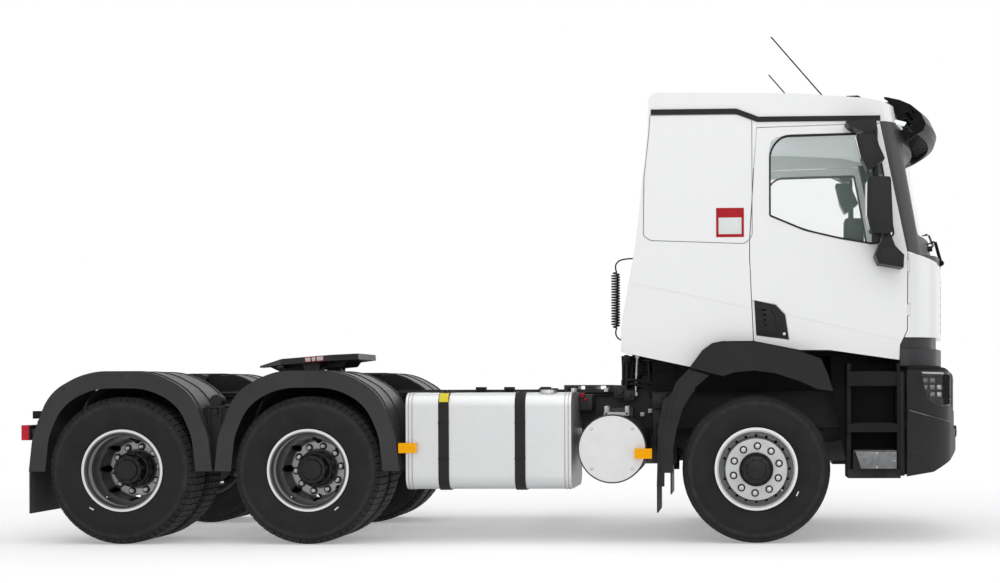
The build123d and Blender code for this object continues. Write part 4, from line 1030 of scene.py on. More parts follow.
def makeSign():
    low, high = sign["low"], sign["high"]
    mesh = bmesh.new()
    aheadBox(mesh, (low[0], -sign["face"] - 0.002, low[1]), (high[0], -sign["face"] + 0.001, high[1]),
             0.0006)
    piece("signPlate", mesh, "signRed", "cab")
    mesh = bmesh.new()
    aheadBox(mesh, (low[0] + 0.018, -sign["face"] - 0.003, low[1] + 0.022), (high[0] - 0.018,
            -sign["face"] - 0.001, high[1] - 0.07), 0.0005)
    piece("signField", mesh, "signPale", "cab")


makeSign()

# mirror glasses, outer shells and pivots
mirrorGlass = {"main": [(0.7855, 2.57), (0.7805, 2.57), (0.777, 2.335), (0.799, 2.235), (0.804, 2.236),
                        (0.7825, 2.335)],
               "upper": [(0.7085, 2.888), (0.7045, 2.886), (0.7415, 2.735), (0.746, 2.736)]}


def makeMirrorTrim():
    for side, sign in (("Left", 1), ("Right", -1)):
        mesh = bmesh.new()
        outlineInto(mesh, ahead(mirrorGlass["main"]), sign * 1.268, sign * 1.402, soft=0.0008)
        outlineInto(mesh, ahead(mirrorGlass["upper"]), sign * 1.268, sign * 1.382, soft=0.0008)
        piece("mirrorGlass" + side, mesh, "reflector", "door_" + side.lower())
        mesh = bmesh.new()
        outlineInto(mesh, ahead([(0.800, 2.604), (0.946, 2.602), (0.957, 2.30), (0.96, 2.22),
                                 (0.9135, 2.202),
                                 (0.83, 2.215), (0.8, 2.33)]), sign * 1.4195, sign * 1.4255, soft=0.003)
        outlineInto(mesh, ahead([(0.722, 2.898), (0.826, 2.897), (0.899, 2.733), (0.86, 2.705),
                                 (0.797, 2.657),
                                 (0.760, 2.74)]), sign * 1.3995, sign * 1.405, soft=0.003)
        outlineInto(mesh, ahead([(0.858, 2.055), (0.876, 2.008), (1.034, 1.982), (1.040, 2.052),
                                 (0.985, 2.11),
                                 (0.9, 2.12)]), sign * 1.3515, sign * 1.357, soft=0.003)
        aheadRod(mesh, (0.85, sign * 1.33, 2.15), (0.85, sign * 1.33, 2.215), 0.03, 20,
                soft=0.004)
        aheadRod(mesh, (0.85, sign * 1.33, 2.60), (0.85, sign * 1.33, 2.70), 0.024, 20,
                soft=0.004)
        piece("mirrorShell" + side, mesh, "mirrorPlastic", "door_" + side.lower())


makeMirrorTrim()

# windscreen wipers and grab handles on the cowl
screen = {"foot": 1.345, "footHeight": 2.264, "rake": 0.1826, "drop": 0.170, "shoulder": 1.0}


def screenPoint(y, z, lift):
    nose = screen["foot"] - screen["rake"] * (z - screen["footHeight"])
    radius = (screen["shoulder"] ** 2 + screen["drop"] ** 2) / (2 * screen["drop"])
    back = radius - math.sqrt(radius ** 2 - y ** 2)
    return (frontAxleX(nose - back + lift), y, z)


def runInto(mesh, points, radius, sides=10):
    for start, end in zip(points, points[1:]):
        rodInto(mesh, start, end, radius, sides)


def makeWipers():
    mesh = bmesh.new()
    for pivot, reach in ((-0.62, 0.56), (0.08, 0.56)):
        blade = [screenPoint(pivot + reach * t + 0.05, 2.275 + 0.05 * t, 0.006) for t in (-0.15, 0.3, 0.7,
                1.15)]
        runInto(mesh, blade, 0.007, 8)
        arm = [screenPoint(pivot, 2.16, 0.018), screenPoint(pivot + 0.12, 2.20, 0.034),
               screenPoint(pivot + 0.36, 2.295, 0.02)]
        runInto(mesh, arm, 0.009, 8)
        rodInto(mesh, screenPoint(pivot, 2.16, -0.03), screenPoint(pivot, 2.165, 0.03), 0.021, 16,
                soft=0.003)
    piece("wipers", mesh, "mirrorPlastic", "cab")
    mesh = bmesh.new()
    for s in (-1, 1):
        points = [(frontAxleX(1.275), s * 0.64, 2.188), (frontAxleX(1.300), s * 0.64, 2.199),
                  (frontAxleX(1.341), s * 0.64, 2.216), (frontAxleX(1.352), s * 0.64, 2.206)]
        runInto(mesh, points, 0.006, 8)
        runInto(mesh, [(frontAxleX(1.350), s * 0.64, 2.212), (frontAxleX(1.372), s * 0.64, 2.13),
                       (frontAxleX(1.394), s * 0.64, 2.052)], 0.0125, 10)
        aheadRod(mesh, (1.392, s * 0.612, 2.052), (1.392, s * 0.668, 2.052), 0.021, 16,
                soft=0.003)
    piece("cowlHandles", mesh, "glossBlack", "cab")


makeWipers()


# seal in the groove round each sleeper panel
panelSeal = [(-0.7605, 3.1, 0.006), (-0.7705, 2.96, 0.02), (-0.8062, 2.645, 0.03), (-0.8118, 2.2252, 0.02),
             (-0.7609, 2.1892, 0.02), (-0.0751, 2.1622, 0.024), (-0.0202, 2.2151, 0.024), (-0.0202, 3.1,
                     0.006)]


def makePanelSeals():
    mesh = bmesh.new()
    roundedFace(mesh, panelSeal, -1.1505)
    middle = mesh.faces[:]
    bmesh.ops.inset_region(mesh, faces=middle, thickness=0.0056, use_boundary=True, use_even_offset=True)
    bmesh.ops.delete(mesh, geom=middle, context="FACES")
    thicken(mesh, mesh.faces[:], (0, 0.0035, 0))
    bothSides(mesh)
    piece("sleeperPanelSeals", mesh, "sealGrey", "cab")


makePanelSeals()

# headliner and dashboard trim
def makeCabLining():
    mesh = bmesh.new()
    outlineInto(mesh, ahead([(-0.68, 3.155), (0.28, 3.155), (0.78, 3.128), (1.10, 3.045), (1.08, 3.015),
                             (0.76, 3.095), (0.28, 3.12), (-0.68, 3.12)]), -1.05, 1.05, soft=0.006)
    outlineInto(mesh, ahead([(-0.62, 3.11), (0.05, 3.11), (0.10, 2.86), (0.02, 2.80), (-0.62, 2.80)]),
                -1.02,
                1.02, soft=0.02)
    # the headliner's finish glows: painted light
    piece("headliner", mesh, "paleLiningPaintedGlow", "cab")
    mesh = bmesh.new()
    aheadBox(mesh, (1.02, -0.20, 2.035), (1.07, 0.22, 2.15), 0.012)
    outlineInto(mesh, ahead([(0.955, 2.0), (1.2, 2.07), (1.2, 2.105), (0.99, 2.065)]), 0.30, 0.86,
                soft=0.01)
    for k in range(6):
        y = -0.95 + 0.19 * k
        aheadBox(mesh, (0.948, y, 1.93), (0.962, y + 0.13, 1.975), 0.004)
    aheadRod(mesh, (0.66, 0.0, 1.66), (0.60, 0.0, 1.93), 0.012, 12)
    aheadRod(mesh, (0.602, 0.0, 1.92), (0.597, 0.0, 1.965), 0.026, 16, soft=0.006)
    piece("dashTrim", mesh, "darkTrim", "cab", "interior")


makeCabLining()


print("cab trim ready")

# under the cab: liners and the seal on the bumper
pivot = {"x": 1.3, "z": 1.0, "reach": 0.28, "gap": 0.006}


def makeLiners():
    mesh = bmesh.new()
    outlineInto(mesh, ahead([(-0.78, 1.085), (-0.78, 1.372), (0.56, 1.372), (0.60, 1.16), (0.60, 1.10)]),
                -0.652,
                -0.645, soft=0.002)
    outlineInto(mesh, ahead([(0.665, 0.56), (0.56, 1.12), (0.55, 1.374), (0.92, 1.366), (1.02, 1.34),
                             (1.06, 1.24), (1.06, 0.56)]), -0.852, -0.846, soft=0.002)
    for k in range(4):
        x = frontAxleX(-0.62 + 0.34 * k)
        boxInto(mesh, (x, -0.660, 1.10), (x + 0.02, -0.650, 1.36), 0.003)
    aheadBox(mesh, (-0.76, -0.661, 1.235), (0.56, -0.651, 1.25), 0.003)
    bothSides(mesh)
    piece("splashLiners", mesh, "linerBlack")
    mesh = bmesh.new()
    outlineInto(mesh, ahead([(1.03, 0.49), (1.03, 1.235), (1.062, 1.235), (1.062, 0.49)]), -1.185, -1.13,
                soft=0.004)
    bothSides(mesh)
    piece("stepPosts", mesh, "grainedPlastic")


makeLiners()


def arcTop(x):
    ahead = max(0.0, x - stations["front"] - pivot["x"])
    return pivot["z"] + math.sqrt(pivot["reach"] ** 2 - ahead ** 2) - pivot["gap"]


def makeBumperSeal():
    plan = [(1.085, 1.212), (1.15, 1.212), (1.24, 1.180), (1.31, 1.110), (1.375, 0.99), (1.42, 0.84),
            (1.385, 0.83), (1.342, 0.965), (1.285, 1.075), (1.22, 1.142), (1.14, 1.17), (1.085, 1.17)]
    mesh = bmesh.new()
    outlineInto(mesh, [(frontAxleX(x), -y) for x, y in plan], 1.238, 1.27, axis="Z")
    for vert in mesh.verts:
        if vert.co.z > 1.25:
            vert.co.z = arcTop(vert.co.x)
    bothSides(mesh)
    piece("bumperSeal", mesh, "linerBlack", "chassis", "rubber")


makeBumperSeal()


def bellowsInto(mesh, x, y, low, high, radius, folds):
    profile = [(0, low)]
    step = (high - low) / folds
    for k in range(folds):
        profile += [(radius * 0.86, low + step * k), (radius, low + step * (k + 0.3)),
                    (radius, low + step * (k + 0.7)), (radius * 0.86, low + step * (k + 0.98))]
    profile += [(0, high)]
    turnedInto(mesh, profile, (x, y, 0), 28, (0, 0, 1))


def makeCabSprings():
    mesh = bmesh.new()
    x = frontAxleX(-0.82)
    for y in (-0.38, 0.38):
        bellowsInto(mesh, x, y, 1.225, 1.352, 0.084, 5)
    piece("cabBellows", mesh, "rubberTrim")
    mesh = bmesh.new()
    for y in (-0.485, 0.485):
        rodInto(mesh, (x + 0.05, y, 1.02), (x + 0.01, y, 1.2), 0.026, 16, soft=0.003)
        rodInto(mesh, (x + 0.01, y, 1.2), (x, y, 1.33), 0.012, 12)
        boxInto(mesh, (x - 0.03, y - 0.05, 1.33), (x + 0.03, y + 0.05, 1.345), 0.003)
        boxInto(mesh, (x + 0.02, y - 0.055, 0.99), (x + 0.09, y + 0.035, 1.04), 0.004)
    piece("cabDampers", mesh, "frameSteel")


makeCabSprings()


# columns: list of (x from the front axle, y, z), radius, finish
pipeRuns = [
    ([(-1.015, -0.46, 1.10), (-1.015, -0.46, 1.30), (-0.99, -0.46, 1.365)], 0.011, "rubberTrim"),
    ([(-0.985, -0.50, 1.10), (-0.98, -0.50, 1.35)], 0.016, "rubberTrim"),
    ([(-0.945, -0.47, 1.10), (-0.945, -0.47, 1.24), (-0.925, -0.44, 1.375)], 0.013, "rubberTrim"),
    ([(-0.915, -0.53, 1.08), (-0.90, -0.53, 1.37)], 0.010, "galvanised"),
    ([(-1.01, -0.42, 1.18), (-0.90, -0.42, 1.20), (-0.86, -0.42, 1.36)], 0.010, "rubberTrim"),
    ([(-1.00, -0.38, 1.14), (-0.94, -0.55, 1.16), (-0.76, -0.60, 1.12)], 0.012, "rubberTrim"),
    ([(-1.02, -0.36, 1.17), (-0.95, -0.56, 1.19), (-0.74, -0.61, 1.16)], 0.012, "rubberTrim"),
    ([(-0.70, -0.66, 1.02), (-0.68, -0.70, 0.90), (-0.74, -0.72, 0.72), (-0.72, -0.70, 0.56)], 0.014,
     "rubberTrim"),
    ([(-0.64, -0.66, 1.0), (-0.62, -0.69, 0.86), (-0.66, -0.70, 0.62)], 0.011, "rubberTrim"),
    ([(-0.60, -0.50, 1.13), (-0.2, -0.52, 1.15), (0.25, -0.50, 1.14)], 0.016, "rubberTrim"),
    ([(-0.98, 0.46, 1.10), (-0.98, 0.46, 1.34)], 0.014, "rubberTrim"),
    ([(-0.94, 0.50, 1.10), (-0.93, 0.50, 1.36)], 0.011, "rubberTrim"),
    ([(-0.60, 0.50, 1.13), (-0.2, 0.52, 1.15), (0.25, 0.50, 1.14)], 0.016, "rubberTrim"),
]


def makePipes():
    for number, (points, radius, finish) in enumerate(pipeRuns):
        mesh = bmesh.new()
        places = [(frontAxleX(x), y, z) for x, y, z in points]
        runInto(mesh, places, radius, 12)
        for place in places[1:-1]:
            bmesh.ops.create_icosphere(mesh, subdivisions=2, radius=radius * 1.02,
                                       matrix=Matrix.Translation(place))
        for place in (places[0], places[-1]):
            boxInto(mesh, tuple(c - radius * 1.5 for c in place), tuple(c + radius * 1.5 for c in place),
                    0.002)
        piece(f"pipe{number}", mesh, finish, "chassis", "rubber")


makePipes()


def makeValveBlocks():
    mesh = bmesh.new()
    for x, y, z, size in ((-1.03, -0.52, 1.10, 0.05), (-0.96, -0.55, 1.07, 0.04), (-0.72, -0.69, 1.03,
            0.055),
                          (-0.70, -0.68, 0.86, 0.045), (-0.66, -0.70, 0.60, 0.05), (-0.62, -0.68, 0.99,
                                  0.035)):
        boxInto(mesh, (frontAxleX(x) - size, y - size * 0.7, z - size), (frontAxleX(x) + size,
                y + size * 0.7,
                                                                       z + size), 0.006)
        aheadRod(mesh, (x, y - size * 0.6, z), (x, y - size * 1.35, z), size * 0.5, 14,
                soft=0.003)
    aheadBox(mesh, (-0.78, -0.66, 0.56), (-0.60, -0.60, 1.10), 0.008)
    piece("valveBlocks", mesh, "frameSteel")
    mesh = bmesh.new()
    for x, z in ((-1.135, 1.115), (-1.385, 1.115), (-0.86, 0.93), (-0.80, 0.955), (-0.755, 0.905)):
        boxInto(mesh, (frontAxleX(x) - 0.014, -0.62, z - 0.017), (frontAxleX(x) + 0.014, -0.43, z + 0.013),
                0.003)
    aheadBox(mesh, (-1.135, -0.80, 0.920), (-0.945, -0.64, 0.945), 0.004)
    for x in (-1.13, -0.975):
        aheadBox(mesh, (x, -0.80, 0.926), (x + 0.028, -0.64, 0.992), 0.004)
    piece("paleBrackets", mesh, "markWhite", "chassis", "aluminium")
    mesh = bmesh.new()
    aheadRod(mesh, (-1.3, -0.70, 1.075), (-1.3, -0.745, 1.075), 0.017, 20, soft=0.004)
    aheadRod(mesh, (-1.278, -0.70, 1.042), (-1.278, -0.74, 1.042), 0.012, 16, soft=0.003)
    piece("redCaps", mesh, "signRed")
    mesh = bmesh.new()
    aheadBox(mesh, (-1.33, -0.705, 0.96), (-1.23, -0.43, 1.08), 0.006)
    piece("capBlock", mesh, "frameSteel")


makeValveBlocks()


def makeRearScreens():
    mesh = bmesh.new()
    outlineInto(mesh, ahead([(-1.02, 1.03), (-1.035, 1.375), (-0.86, 1.375), (-0.52, 1.27), (-0.52, 1.03)]),
                -0.40,
                -0.385, soft=0.003)
    bothSides(mesh)
    aheadBox(mesh, (-0.955, -0.385, 1.10), (-0.935, 0.385, 1.33), 0.004)
    aheadBox(mesh, (-0.80, -0.47, 1.12), (-0.66, -0.40, 1.25), 0.008)
    for z in (1.155, 1.215):
        aheadBox(mesh, (-0.79, -0.476, z - 0.004), (-0.67, -0.468, z + 0.004), 0.001)
    piece("rearScreens", mesh, "linerBlack")
    mesh = bmesh.new()
    aheadBox(mesh, (1.03, -1.15, 0.497), (1.10, -0.95, 0.66), 0.006)
    bothSides(mesh)
    piece("bumperReturns", mesh, "linerBlack")
    mesh = bmesh.new()
    boxInto(mesh, (-3.43, -1.02, 0.915), (-3.355, -0.95, 0.972), 0.005)
    rodInto(mesh, (-3.385, -0.985, 0.943), (-3.385, -0.55, 0.943), 0.014, 12)
    bothSides(mesh)
    piece("tailStubs", mesh, "linerBlack")


makeRearScreens()

# silencer end plate
silencer = {"x": 0.903, "z": 0.686, "screwX": 0.149, "screwZ": 0.145}


def makeSilencerTrim():
    centre = (silencer["x"], 0, silencer["z"])
    mesh = bmesh.new()
    turnedInto(mesh, [(0.0, -1.1495), (0.232, -1.1495), (0.2365, -1.1465), (0.2365, -1.142), (0.0, -1.142)],
               centre, 64)
    piece("silencerPlate", mesh, "whitePaint")
    mesh = bmesh.new()
    turnedInto(mesh, [(0.2405, -1.1475), (0.2485, -1.1475), (0.2505, -1.144), (0.2505, -1.104),
                      (0.2405, -1.104),
                      (0.2405, -1.1475)], centre, 64)
    for y in (-0.98, -0.62):
        turnedInto(mesh, [(0.2395, y - 0.022), (0.2445, y - 0.02), (0.2445, y + 0.02), (0.2395, y + 0.022)],
                   centre, 64)
    piece("silencerRim", mesh, "frameSteel")
    mesh = bmesh.new()
    for a in (-1, 1):
        for b in (-1, 1):
            spot = (silencer["x"] + a * silencer["screwX"], silencer["z"] + b * silencer["screwZ"])
            rodInto(mesh, (spot[0], -1.148, spot[1]), (spot[0], -1.1555, spot[1]), 0.0085, 6, soft=0.001)
            rodInto(mesh, (spot[0], -1.148, spot[1]), (spot[0], -1.1515, spot[1]), 0.0135, 16)
    piece("silencerScrews", mesh, "nutSteel", "chassis", "chassis_steel")


makeSilencerTrim()

# fuel tank trim
tankTrim = {"low": 0.396, "high": 1.096, "inner": -0.47, "outer": -1.205, "corner": 0.095,
            "rear": -0.59, "front": 0.612}


def tankRing(mesh, x0, x1, grow):
    low, high = tankTrim["low"] - grow, tankTrim["high"] + grow
    inner, outer = tankTrim["inner"] + grow, tankTrim["outer"] - grow
    band = bmesh.new()
    corners = [band.verts.new((x0, y, z)) for y, z in ((inner, low), (outer, low), (outer, high),
                                                       (inner, high))]
    band.faces.new(corners)
    soften(band, corners, tankTrim["corner"] + grow, 9, "VERTICES")
    middle = band.faces[:]
    bmesh.ops.inset_region(band, faces=middle, thickness=grow + 0.001, use_boundary=True,
                           use_even_offset=True)
    bmesh.ops.delete(band, geom=middle, context="FACES")
    thicken(band, band.faces[:], (x1 - x0, 0, 0))
    joinInto(mesh, band)


def makeTankTrim():
    mesh = bmesh.new()
    for x in (tankTrim["rear"] + 0.016, tankTrim["rear"] + 0.042, tankTrim["front"] - 0.05,
              tankTrim["front"] - 0.024):
        tankRing(mesh, x, x + 0.007, 0.0036)
    piece("tankBeads", mesh, "beadSteel")
    mesh = bmesh.new()
    cap = (frontAxleX(-1.513), -1.075)
    rodInto(mesh, (*cap, 1.117), (*cap, 1.128), 0.066, 32, soft=0.003)
    for k in range(12):
        turn = math.tau * k / 12
        spot = (cap[0] + 0.066 * math.cos(turn), cap[1] + 0.066 * math.sin(turn))
        rodInto(mesh, (*spot, 1.1185), (*spot, 1.1265), 0.007, 8)
    rodInto(mesh, (cap[0] - 0.02, cap[1], 1.129), (cap[0] + 0.02, cap[1], 1.129), 0.007, 10, soft=0.002)
    piece("tankCap", mesh, "grainedPlastic")
    mesh = bmesh.new()
    for x in (-1.703, -2.259):
        for z in (0.62, 0.88):
            boxInto(mesh, (frontAxleX(x) - 0.041, -1.2155, z - 0.004), (frontAxleX(x) + 0.041, -1.2125,
                    z + 0.004),
                    0.001)
        aheadRod(mesh, (x, -1.14, 1.108), (x, -1.06, 1.108), 0.010, 12, soft=0.002)
        boxInto(mesh, (frontAxleX(x) - 0.03, -1.06, 1.1035), (frontAxleX(x) + 0.03, -1.02, 1.118), 0.003)
    piece("strapBuckles", mesh, "rubberTrim", "chassis", "chassis_steel")
    mesh = bmesh.new()
    outlineInto(mesh, [(-1.2142, 1.030), (-1.2166, 1.030), (-1.2166, 1.032), (-1.2132, 1.066),
                       (-1.1855, 1.0945),
                       (-1.1838, 1.0925), (-1.2108, 1.0645)], frontAxleX(-2.288), frontAxleX(-2.222),
                axis="X")
    piece("tankTag", mesh, "tagYellow")


makeTankTrim()

# bolts, lines and clamps along the rails, brake chambers
def makeFrameBolts():
    mesh = bmesh.new()
    for k in range(44):
        x = -3.40 + 0.148 * k
        if x > 3.1:
            break
        for z in (0.885, 1.05):
            rodInto(mesh, (x, -0.4295, z), (x, -0.441, z), 0.012, 6)
    bothSides(mesh)
    piece("railBolts", mesh, "frameSteel")


makeFrameBolts()


def makeRailLines():
    mesh = bmesh.new()
    for y, z, radius in ((-0.449, 1.095, 0.010), (-0.449, 1.073, 0.008), (0.449, 1.09, 0.010)):
        rodInto(mesh, (-3.35, y, z), (frontAxleX(-0.95), y, z), radius, 10)
    for k in range(11):
        x = -3.2 + 0.4 * k
        boxInto(mesh, (x, -0.466, 1.06), (x + 0.022, -0.429, 1.108), 0.003)
    for x in (-2.12, -1.9, -1.62, -1.41):
        boxInto(mesh, (frontAxleX(x) - 0.035, -0.47, 1.1175), (frontAxleX(x) + 0.035, -0.36, 1.139), 0.004)
    piece("railLines", mesh, "rubberTrim")
    mesh = bmesh.new()
    for x in (stations["drive1"], stations["drive2"]):
        for s in (-1, 1):
            rodInto(mesh, (x + 0.17, s * 0.52, 0.60), (x + 0.34, s * 0.52, 0.64), 0.078, 28, soft=0.012)
            rodInto(mesh, (x + 0.245, s * 0.52, 0.618), (x + 0.262, s * 0.52, 0.622), 0.088, 28, soft=0.004)
            rodInto(mesh, (x + 0.05, s * 0.52, 0.575), (x + 0.18, s * 0.52, 0.602), 0.016, 12)
    piece("brakeChambers", mesh, "frameSteel")


makeRailLines()

# fifth wheel: blank label, release handle and bolts
coupling = {"x": -1.505, "z": 1.27, "pitch": 4.5}


def onCoupling(mesh):
    turn = Matrix.Translation((coupling["x"], 0, coupling["z"])) @ Matrix.Rotation(
        math.radians(-coupling["pitch"]), 4, "Y")
    bmesh.ops.transform(mesh, matrix=turn, verts=mesh.verts)


def makeCouplingTrim():
    mesh = bmesh.new()
    boxInto(mesh, (-0.035, -0.4575, 0.067), (0.118, -0.4545, 0.107), 0.001)
    onCoupling(mesh)
    piece("couplingLabel", mesh, "signRed", "fifth_wheel")
    mesh = bmesh.new()
    for low, high in ((-0.028, 0.012), (0.024, 0.05), (0.062, 0.111)):
        boxInto(mesh, (low, -0.459, 0.072), (high, -0.457, 0.102), 0.0006)
    onCoupling(mesh)
    piece("couplingLabelField", mesh, "signPale", "fifth_wheel")
    mesh = bmesh.new()
    rodInto(mesh, (-0.24, -0.15, 0.052), (-0.24, -0.47, 0.045), 0.011, 12)
    rodInto(mesh, (-0.24, -0.462, 0.045), (-0.20, -0.475, 0.045), 0.010, 12)
    for x in (-0.28, -0.05, 0.16):
        for y in (-0.26, 0.26):
            rodInto(mesh, (x, y, 0.063), (x, y, 0.05), 0.015, 6)
    boxInto(mesh, (-0.30, -0.12, 0.045), (-0.06, 0.12, 0.0655), 0.006)
    onCoupling(mesh)
    piece("couplingRelease", mesh, "frameSteel", "fifth_wheel")


makeCouplingTrim()

# headlamps: dark bowls with stacked reflectors, seen through the glass
def makeLampInsides():
    for side, s in (("Left", 1), ("Right", -1)):
        mesh = bmesh.new()
        outlineInto(mesh, ahead([(1.166, 1.225), (1.205, 1.05), (1.275, 1.0), (1.40, 1.0), (1.40, 1.215)]),
                    s * 1.045, s * 1.065)
        outlineInto(mesh, [(s * 0.80, 0.99), (s * 1.05, 0.99), (s * 1.05, 1.22), (s * 0.80, 1.22)],
                    frontAxleX(1.318), frontAxleX(1.338), axis="X")
        for z in (1.047, 1.097, 1.150, 1.199):
            aheadBox(mesh, (1.19, s * 1.064, z - 0.005), (1.36, s * 1.098, z + 0.005), 0.001)
        for x in (1.245, 1.30, 1.345):
            boxInto(mesh, (frontAxleX(x) - 0.004, s * 1.064, 1.045), (frontAxleX(x) + 0.004, s * 1.098,
                                                                      1.205), 0.001)
        piece("lampBowl" + side, mesh, "linerBlack")
        mesh = bmesh.new()
        for x, z in ((1.222, 1.124), (1.222, 1.174), (1.275, 1.072), (1.275, 1.124), (1.275, 1.174),
                     (1.322, 1.072), (1.322, 1.124)):
            boxInto(mesh, (frontAxleX(x) - 0.021, s * 1.066, z - 0.0185), (frontAxleX(x) + 0.021, s * 1.084,
                    z + 0.0185),
                    0.005)
        for y in (0.855, 0.97):
            for z in (1.05, 1.155):
                aheadRod(mesh, (1.34, s * y, z), (1.372, s * y, z), 0.026, 28, 0.044)
        piece("lampReflectors" + side, mesh, "reflector")


makeLampInsides()

# bumper plugs, a crease bead in lighter grey as a painted highlight, and the lower mesh, then the steps
def makeBumperTrim():
    mesh = bmesh.new()
    for s in (-1, 1):
        for x, z in ((1.141, 0.895), (1.127, 0.668)):
            turnedInto(mesh, [(0.0, s * 1.2455), (0.011, s * 1.2455), (0.013, s * 1.2475),
                              (0.018, s * 1.2475),
                              (0.020, s * 1.2445)], (frontAxleX(x), 0, z), 24)
    piece("bumperPlugs", mesh, "mirrorPlastic")
    mesh = bmesh.new()
    # the bead along the crease is coloured lighter grey: painted highlight
    crease = [(1.089, 1.2415, 0.9605), (1.15, 1.2435, 0.943), (1.20, 1.228, 0.9285), (1.25, 1.199, 0.914),
              (1.30, 1.160, 0.8995), (1.34, 1.118, 0.888), (1.375, 1.062, 0.8775), (1.40, 1.0, 0.871)]
    runInto(mesh, [(frontAxleX(x), y, z) for x, y, z in crease], 0.0042, 10)
    bothSides(mesh)
    piece("bumperCreaseHighlight", mesh, "creaseHighlightGrey")
    mesh = bmesh.new()
    for k in range(9):
        z = 0.955 + 0.024 * k
        outlineInto(mesh, [(frontAxleX(1.462), -0.63), (frontAxleX(1.478), -0.63), (frontAxleX(1.51), 0.0),
                           (frontAxleX(1.478), 0.63), (frontAxleX(1.462), 0.63), (frontAxleX(1.494), 0.0)],
                    z, z + 0.008, axis="Z")
    for k in range(15):
        y = -0.602 + 0.086 * k
        aheadBox(mesh, (1.452, y - 0.004, 0.942), (1.468, y + 0.004, 1.158), 0.001)
    piece("intakeMesh", mesh, "linerBlack")


makeBumperTrim()


def makeStepTrim():
    mesh = bmesh.new()
    outlineInto(mesh, ahead([(0.7065, 0.667), (1.0, 0.665), (1.0, 0.5435), (0.747, 0.5435),
                             (0.735, 0.585)]),
                -1.2275, -1.2235, soft=0.001)
    aheadBox(mesh, (0.695, -1.2255, 0.6685), (1.0, -1.02, 0.673), 0.001)
    bothSides(mesh)
    piece("stepPlates", mesh, "stepAluminium")
    mesh = bmesh.new()
    for z, low, high in ((0.863, -1.19, -0.90), (1.235, -1.17, -0.90), (0.673, -1.215, -1.04)):
        for k in range(8):
            y = low + (high - low) * (k + 0.5) / 8
            aheadBox(mesh, (0.70, y - 0.005, z - 0.001), (0.99, y + 0.005, z + 0.005), 0.001)
    bothSides(mesh)
    piece("stepTreads", mesh, "grainedPlastic")
    mesh = bmesh.new()
    for x, z in ((0.86, 0.655), (0.86, 0.553), (0.985, 0.60)):
        aheadRod(mesh, (x, -1.226, z), (x, -1.2305, z), 0.006, 12, soft=0.001)
    bothSides(mesh)
    piece("stepScrews", mesh, "nutSteel", "chassis", "chassis_steel")


makeStepTrim()

# rear mudguards: screws, and the plates between them in black as painted shade of the recess
def makeGuardTrim():
    mesh = bmesh.new()
    for x0 in (stations["drive1"], stations["drive2"]):
        for dx, dz in ((-0.60, 0.36), (-0.42, 0.60), (0.0, 0.69), (0.42, 0.60), (0.60, 0.36)):
            spot = (x0 + dx, stations["axleHeight"] + dz)
            rodInto(mesh, (spot[0], -1.248, spot[1]), (spot[0], -1.2545, spot[1]), 0.0085, 12, soft=0.001)
    bothSides(mesh)
    piece("guardScrews", mesh, "frameSteel")
    mesh = bmesh.new()
    middle = (stations["drive1"] + stations["drive2"]) / 2
    low = stations["axleHeight"]
    outlineInto(mesh, [(middle - 0.10, low + 0.455), (middle + 0.10, low + 0.455), (middle + 0.045,
            low + 0.23),
                       (middle + 0.03, low), (middle - 0.03, low), (middle - 0.045, low + 0.23)],
                -1.188, -1.17, soft=0.006)
    boxInto(mesh, (middle - 0.075, -1.20, low + 0.45), (middle + 0.075, -0.80, low + 0.475), 0.006)
    rodInto(mesh, (middle, -1.21, low + 0.43), (middle, -0.43, low + 0.43), 0.02, 16)
    rodInto(mesh, (middle, -1.19, low + 0.505), (middle, -1.09, low + 0.505), 0.048, 24, soft=0.01)
    bothSides(mesh)
    for x0, x1 in ((-0.055, -0.04), (0.028, 0.048)):
        boxInto(mesh, (middle + x0, -1.20, low + 0.25), (middle + x1, -1.17, low + 0.45), 0.003)
    # the plates between the guards are black so that they read as a shaded recess: painted shade
    piece("guardBridgesPaintedShade", mesh, "rubberTrim", "chassis", "black_plastic")


makeGuardTrim()


def makeGuardValances():
    mesh = bmesh.new()
    upper = [(-0.63, 0.26), (-0.51, 0.56), (-0.25, 0.706), (0.25, 0.706), (0.51, 0.56), (0.63, 0.26)]
    lower = [(0.52, 0.20), (0.41, 0.36), (0.2, 0.455), (-0.2, 0.455), (-0.41, 0.36), (-0.52, 0.20)]
    for x0 in (stations["drive1"], stations["drive2"]):
        outlineInto(mesh, [(x0 + dx, stations["axleHeight"] + dz) for dx, dz in upper + lower], -0.566,
                    -0.56,
                    soft=0.0015)
        boxInto(mesh, (x0 - 0.11, -0.60, stations["axleHeight"] + 0.700),
                (x0 + 0.11, -0.56, stations["axleHeight"] + 0.7115), 0.002)
    bothSides(mesh)
    piece("guardValances", mesh, "linerBlack")
    mesh = bmesh.new()
    outer = [(-0.480, 1.262), (-0.575, 1.165), (-0.625, 1.03), (-0.672, 0.80), (-0.690, 0.70),
             (-0.684, 0.515)]
    inner = [(-0.598, 0.515), (-0.596, 0.70), (-0.57, 0.83), (-0.522, 0.985), (-0.432, 1.13),
             (-0.335, 1.215)]
    outlineInto(mesh, ahead(outer + inner), -1.220, -1.2125, soft=0.002)
    outlineInto(mesh, ahead([(x + 0.012, z - 0.008) for x, z in outer[:4]]
                            + [(x + 0.030, z - 0.012) for x, z in outer[:4][::-1]]), -1.2245, -1.219,
                soft=0.002)
    bothSides(mesh)
    piece("frontGuardSkirts", mesh, "mirrorPlastic")


makeGuardValances()
print("chassis trim ready")

# studio
studio = {"floorSize": 90, "fadeStart": 3.2, "fadeEnd": 6.5}


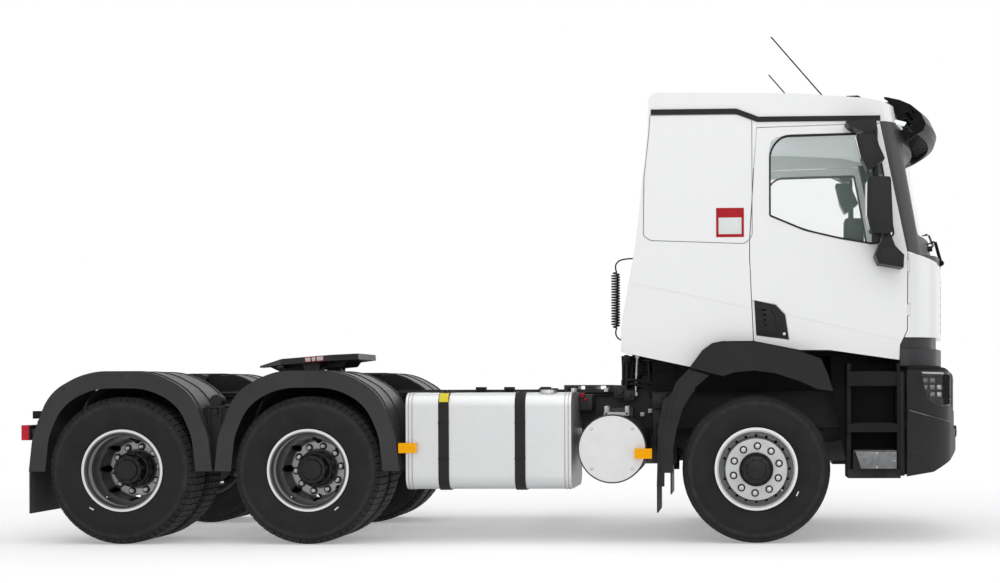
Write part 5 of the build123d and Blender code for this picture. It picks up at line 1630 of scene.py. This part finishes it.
def makeFloor():
    mesh = bmesh.new()
    bmesh.ops.create_grid(mesh, x_segments=1, y_segments=1, size=studio["floorSize"] / 2)
    data = bpy.data.meshes.new("studioFloor")
    mesh.to_mesh(data)
    mesh.free()
    floor = linked("studioFloor", data)
    finish = Finish("studioFloor", **{"Roughness": 0.9, "Base Color": (0.93, 0.93, 0.93),
                                       "Emission Color": (1, 1, 1), "Emission Strength": 0.29})
    x, y, z = finish.axes(finish.place())
    sideways = ((x / 1.35) * (x / 1.35) + y * y) ** 0.5
    fade = sideways.between(studio["fadeStart"], studio["fadeEnd"])
    seen = finish.make("ShaderNodeLightPath", {}, {})
    rays = Flow(finish, seen.outputs["Is Camera Ray"]).most(Flow(finish, seen.outputs["Is Glossy Ray"]))
    rays = rays.most(Flow(finish, seen.outputs["Is Transmission Ray"]))
    white = finish.add("ShaderNodeEmission", {}, {"Color": (1, 1, 1), "Strength": 1.0})
    body = Flow(finish, finish.shader.outputs[0])
    both = finish.add("ShaderNodeMixShader", {}, {0: fade * rays, 1: body, 2: white})
    finish.tree.links.new(both.socket, finish.output.inputs["Surface"])
    data.materials.append(finish.material)


def makeWorld():
    world = bpy.data.worlds.new("studioWorld")
    bpy.context.scene.world = world
    world.use_nodes = True
    tree = world.node_tree
    tree.nodes.clear()
    kinds = {"seen": "LightPath", "larger": "Math", "widest": "Math", "blend": "MixShader",
             "glow": "Background",
             "white": "Background", "out": "OutputWorld"}
    made = {name: tree.nodes.new("ShaderNode" + kind) for name, kind in kinds.items()}
    for name in ("larger", "widest"):
        made[name].operation = "MAXIMUM"
    for name, shade, strength in (("glow", (0.99, 0.995, 1, 1), 0.42), ("white", (1, 1, 1, 1), 1.0)):
        made[name].inputs["Color"].default_value = shade
        made[name].inputs["Strength"].default_value = strength
    # columns: from, its output, to, its input
    links = [("seen", "Is Camera Ray", "larger", 0), ("seen", "Is Glossy Ray", "larger", 1),
             ("larger", 0, "widest", 0), ("seen", "Is Transmission Ray", "widest", 1), ("widest", 0,
                     "blend", 0),
             ("glow", 0, "blend", 1), ("white", 0, "blend", 2), ("blend", 0, "out", "Surface")]
    for start, leaving, end, entering in links:
        tree.links.new(made[start].outputs[leaving], made[end].inputs[entering])


# columns: name, place, aim, size, watts
lampPlaces = [
    ("overheadSoft", (0.5, -2.5, 8.5), (0, 0, 1), 9, 215),
    ("sideSoft", (2.5, -10.5, 5.5), (0, 0, 1.2), 8, 225),
    ("frontSoft", (10, -2, 4.5), (0.5, 0, 1.2), 6, 110),
    ("rearSoft", (-10, -1, 5), (-0.5, 0, 1.2), 6, 90),
    ("farSideSoft", (0, 9, 5), (0, 0, 1.2), 8, 110),
]


def makeLamps():
    for name, place, aim, size, watts in lampPlaces:
        light = bpy.data.lights.new(name, "AREA")
        light.shape = "SQUARE"
        light.size = size
        light.energy = watts
        lamp = linked(name, light)
        lamp.location = place
        lamp.rotation_euler = (Vector(aim) - Vector(place)).to_track_quat("-Z", "Y").to_euler()


makeFloor()
makeWorld()
makeLamps()
print("studio ready")
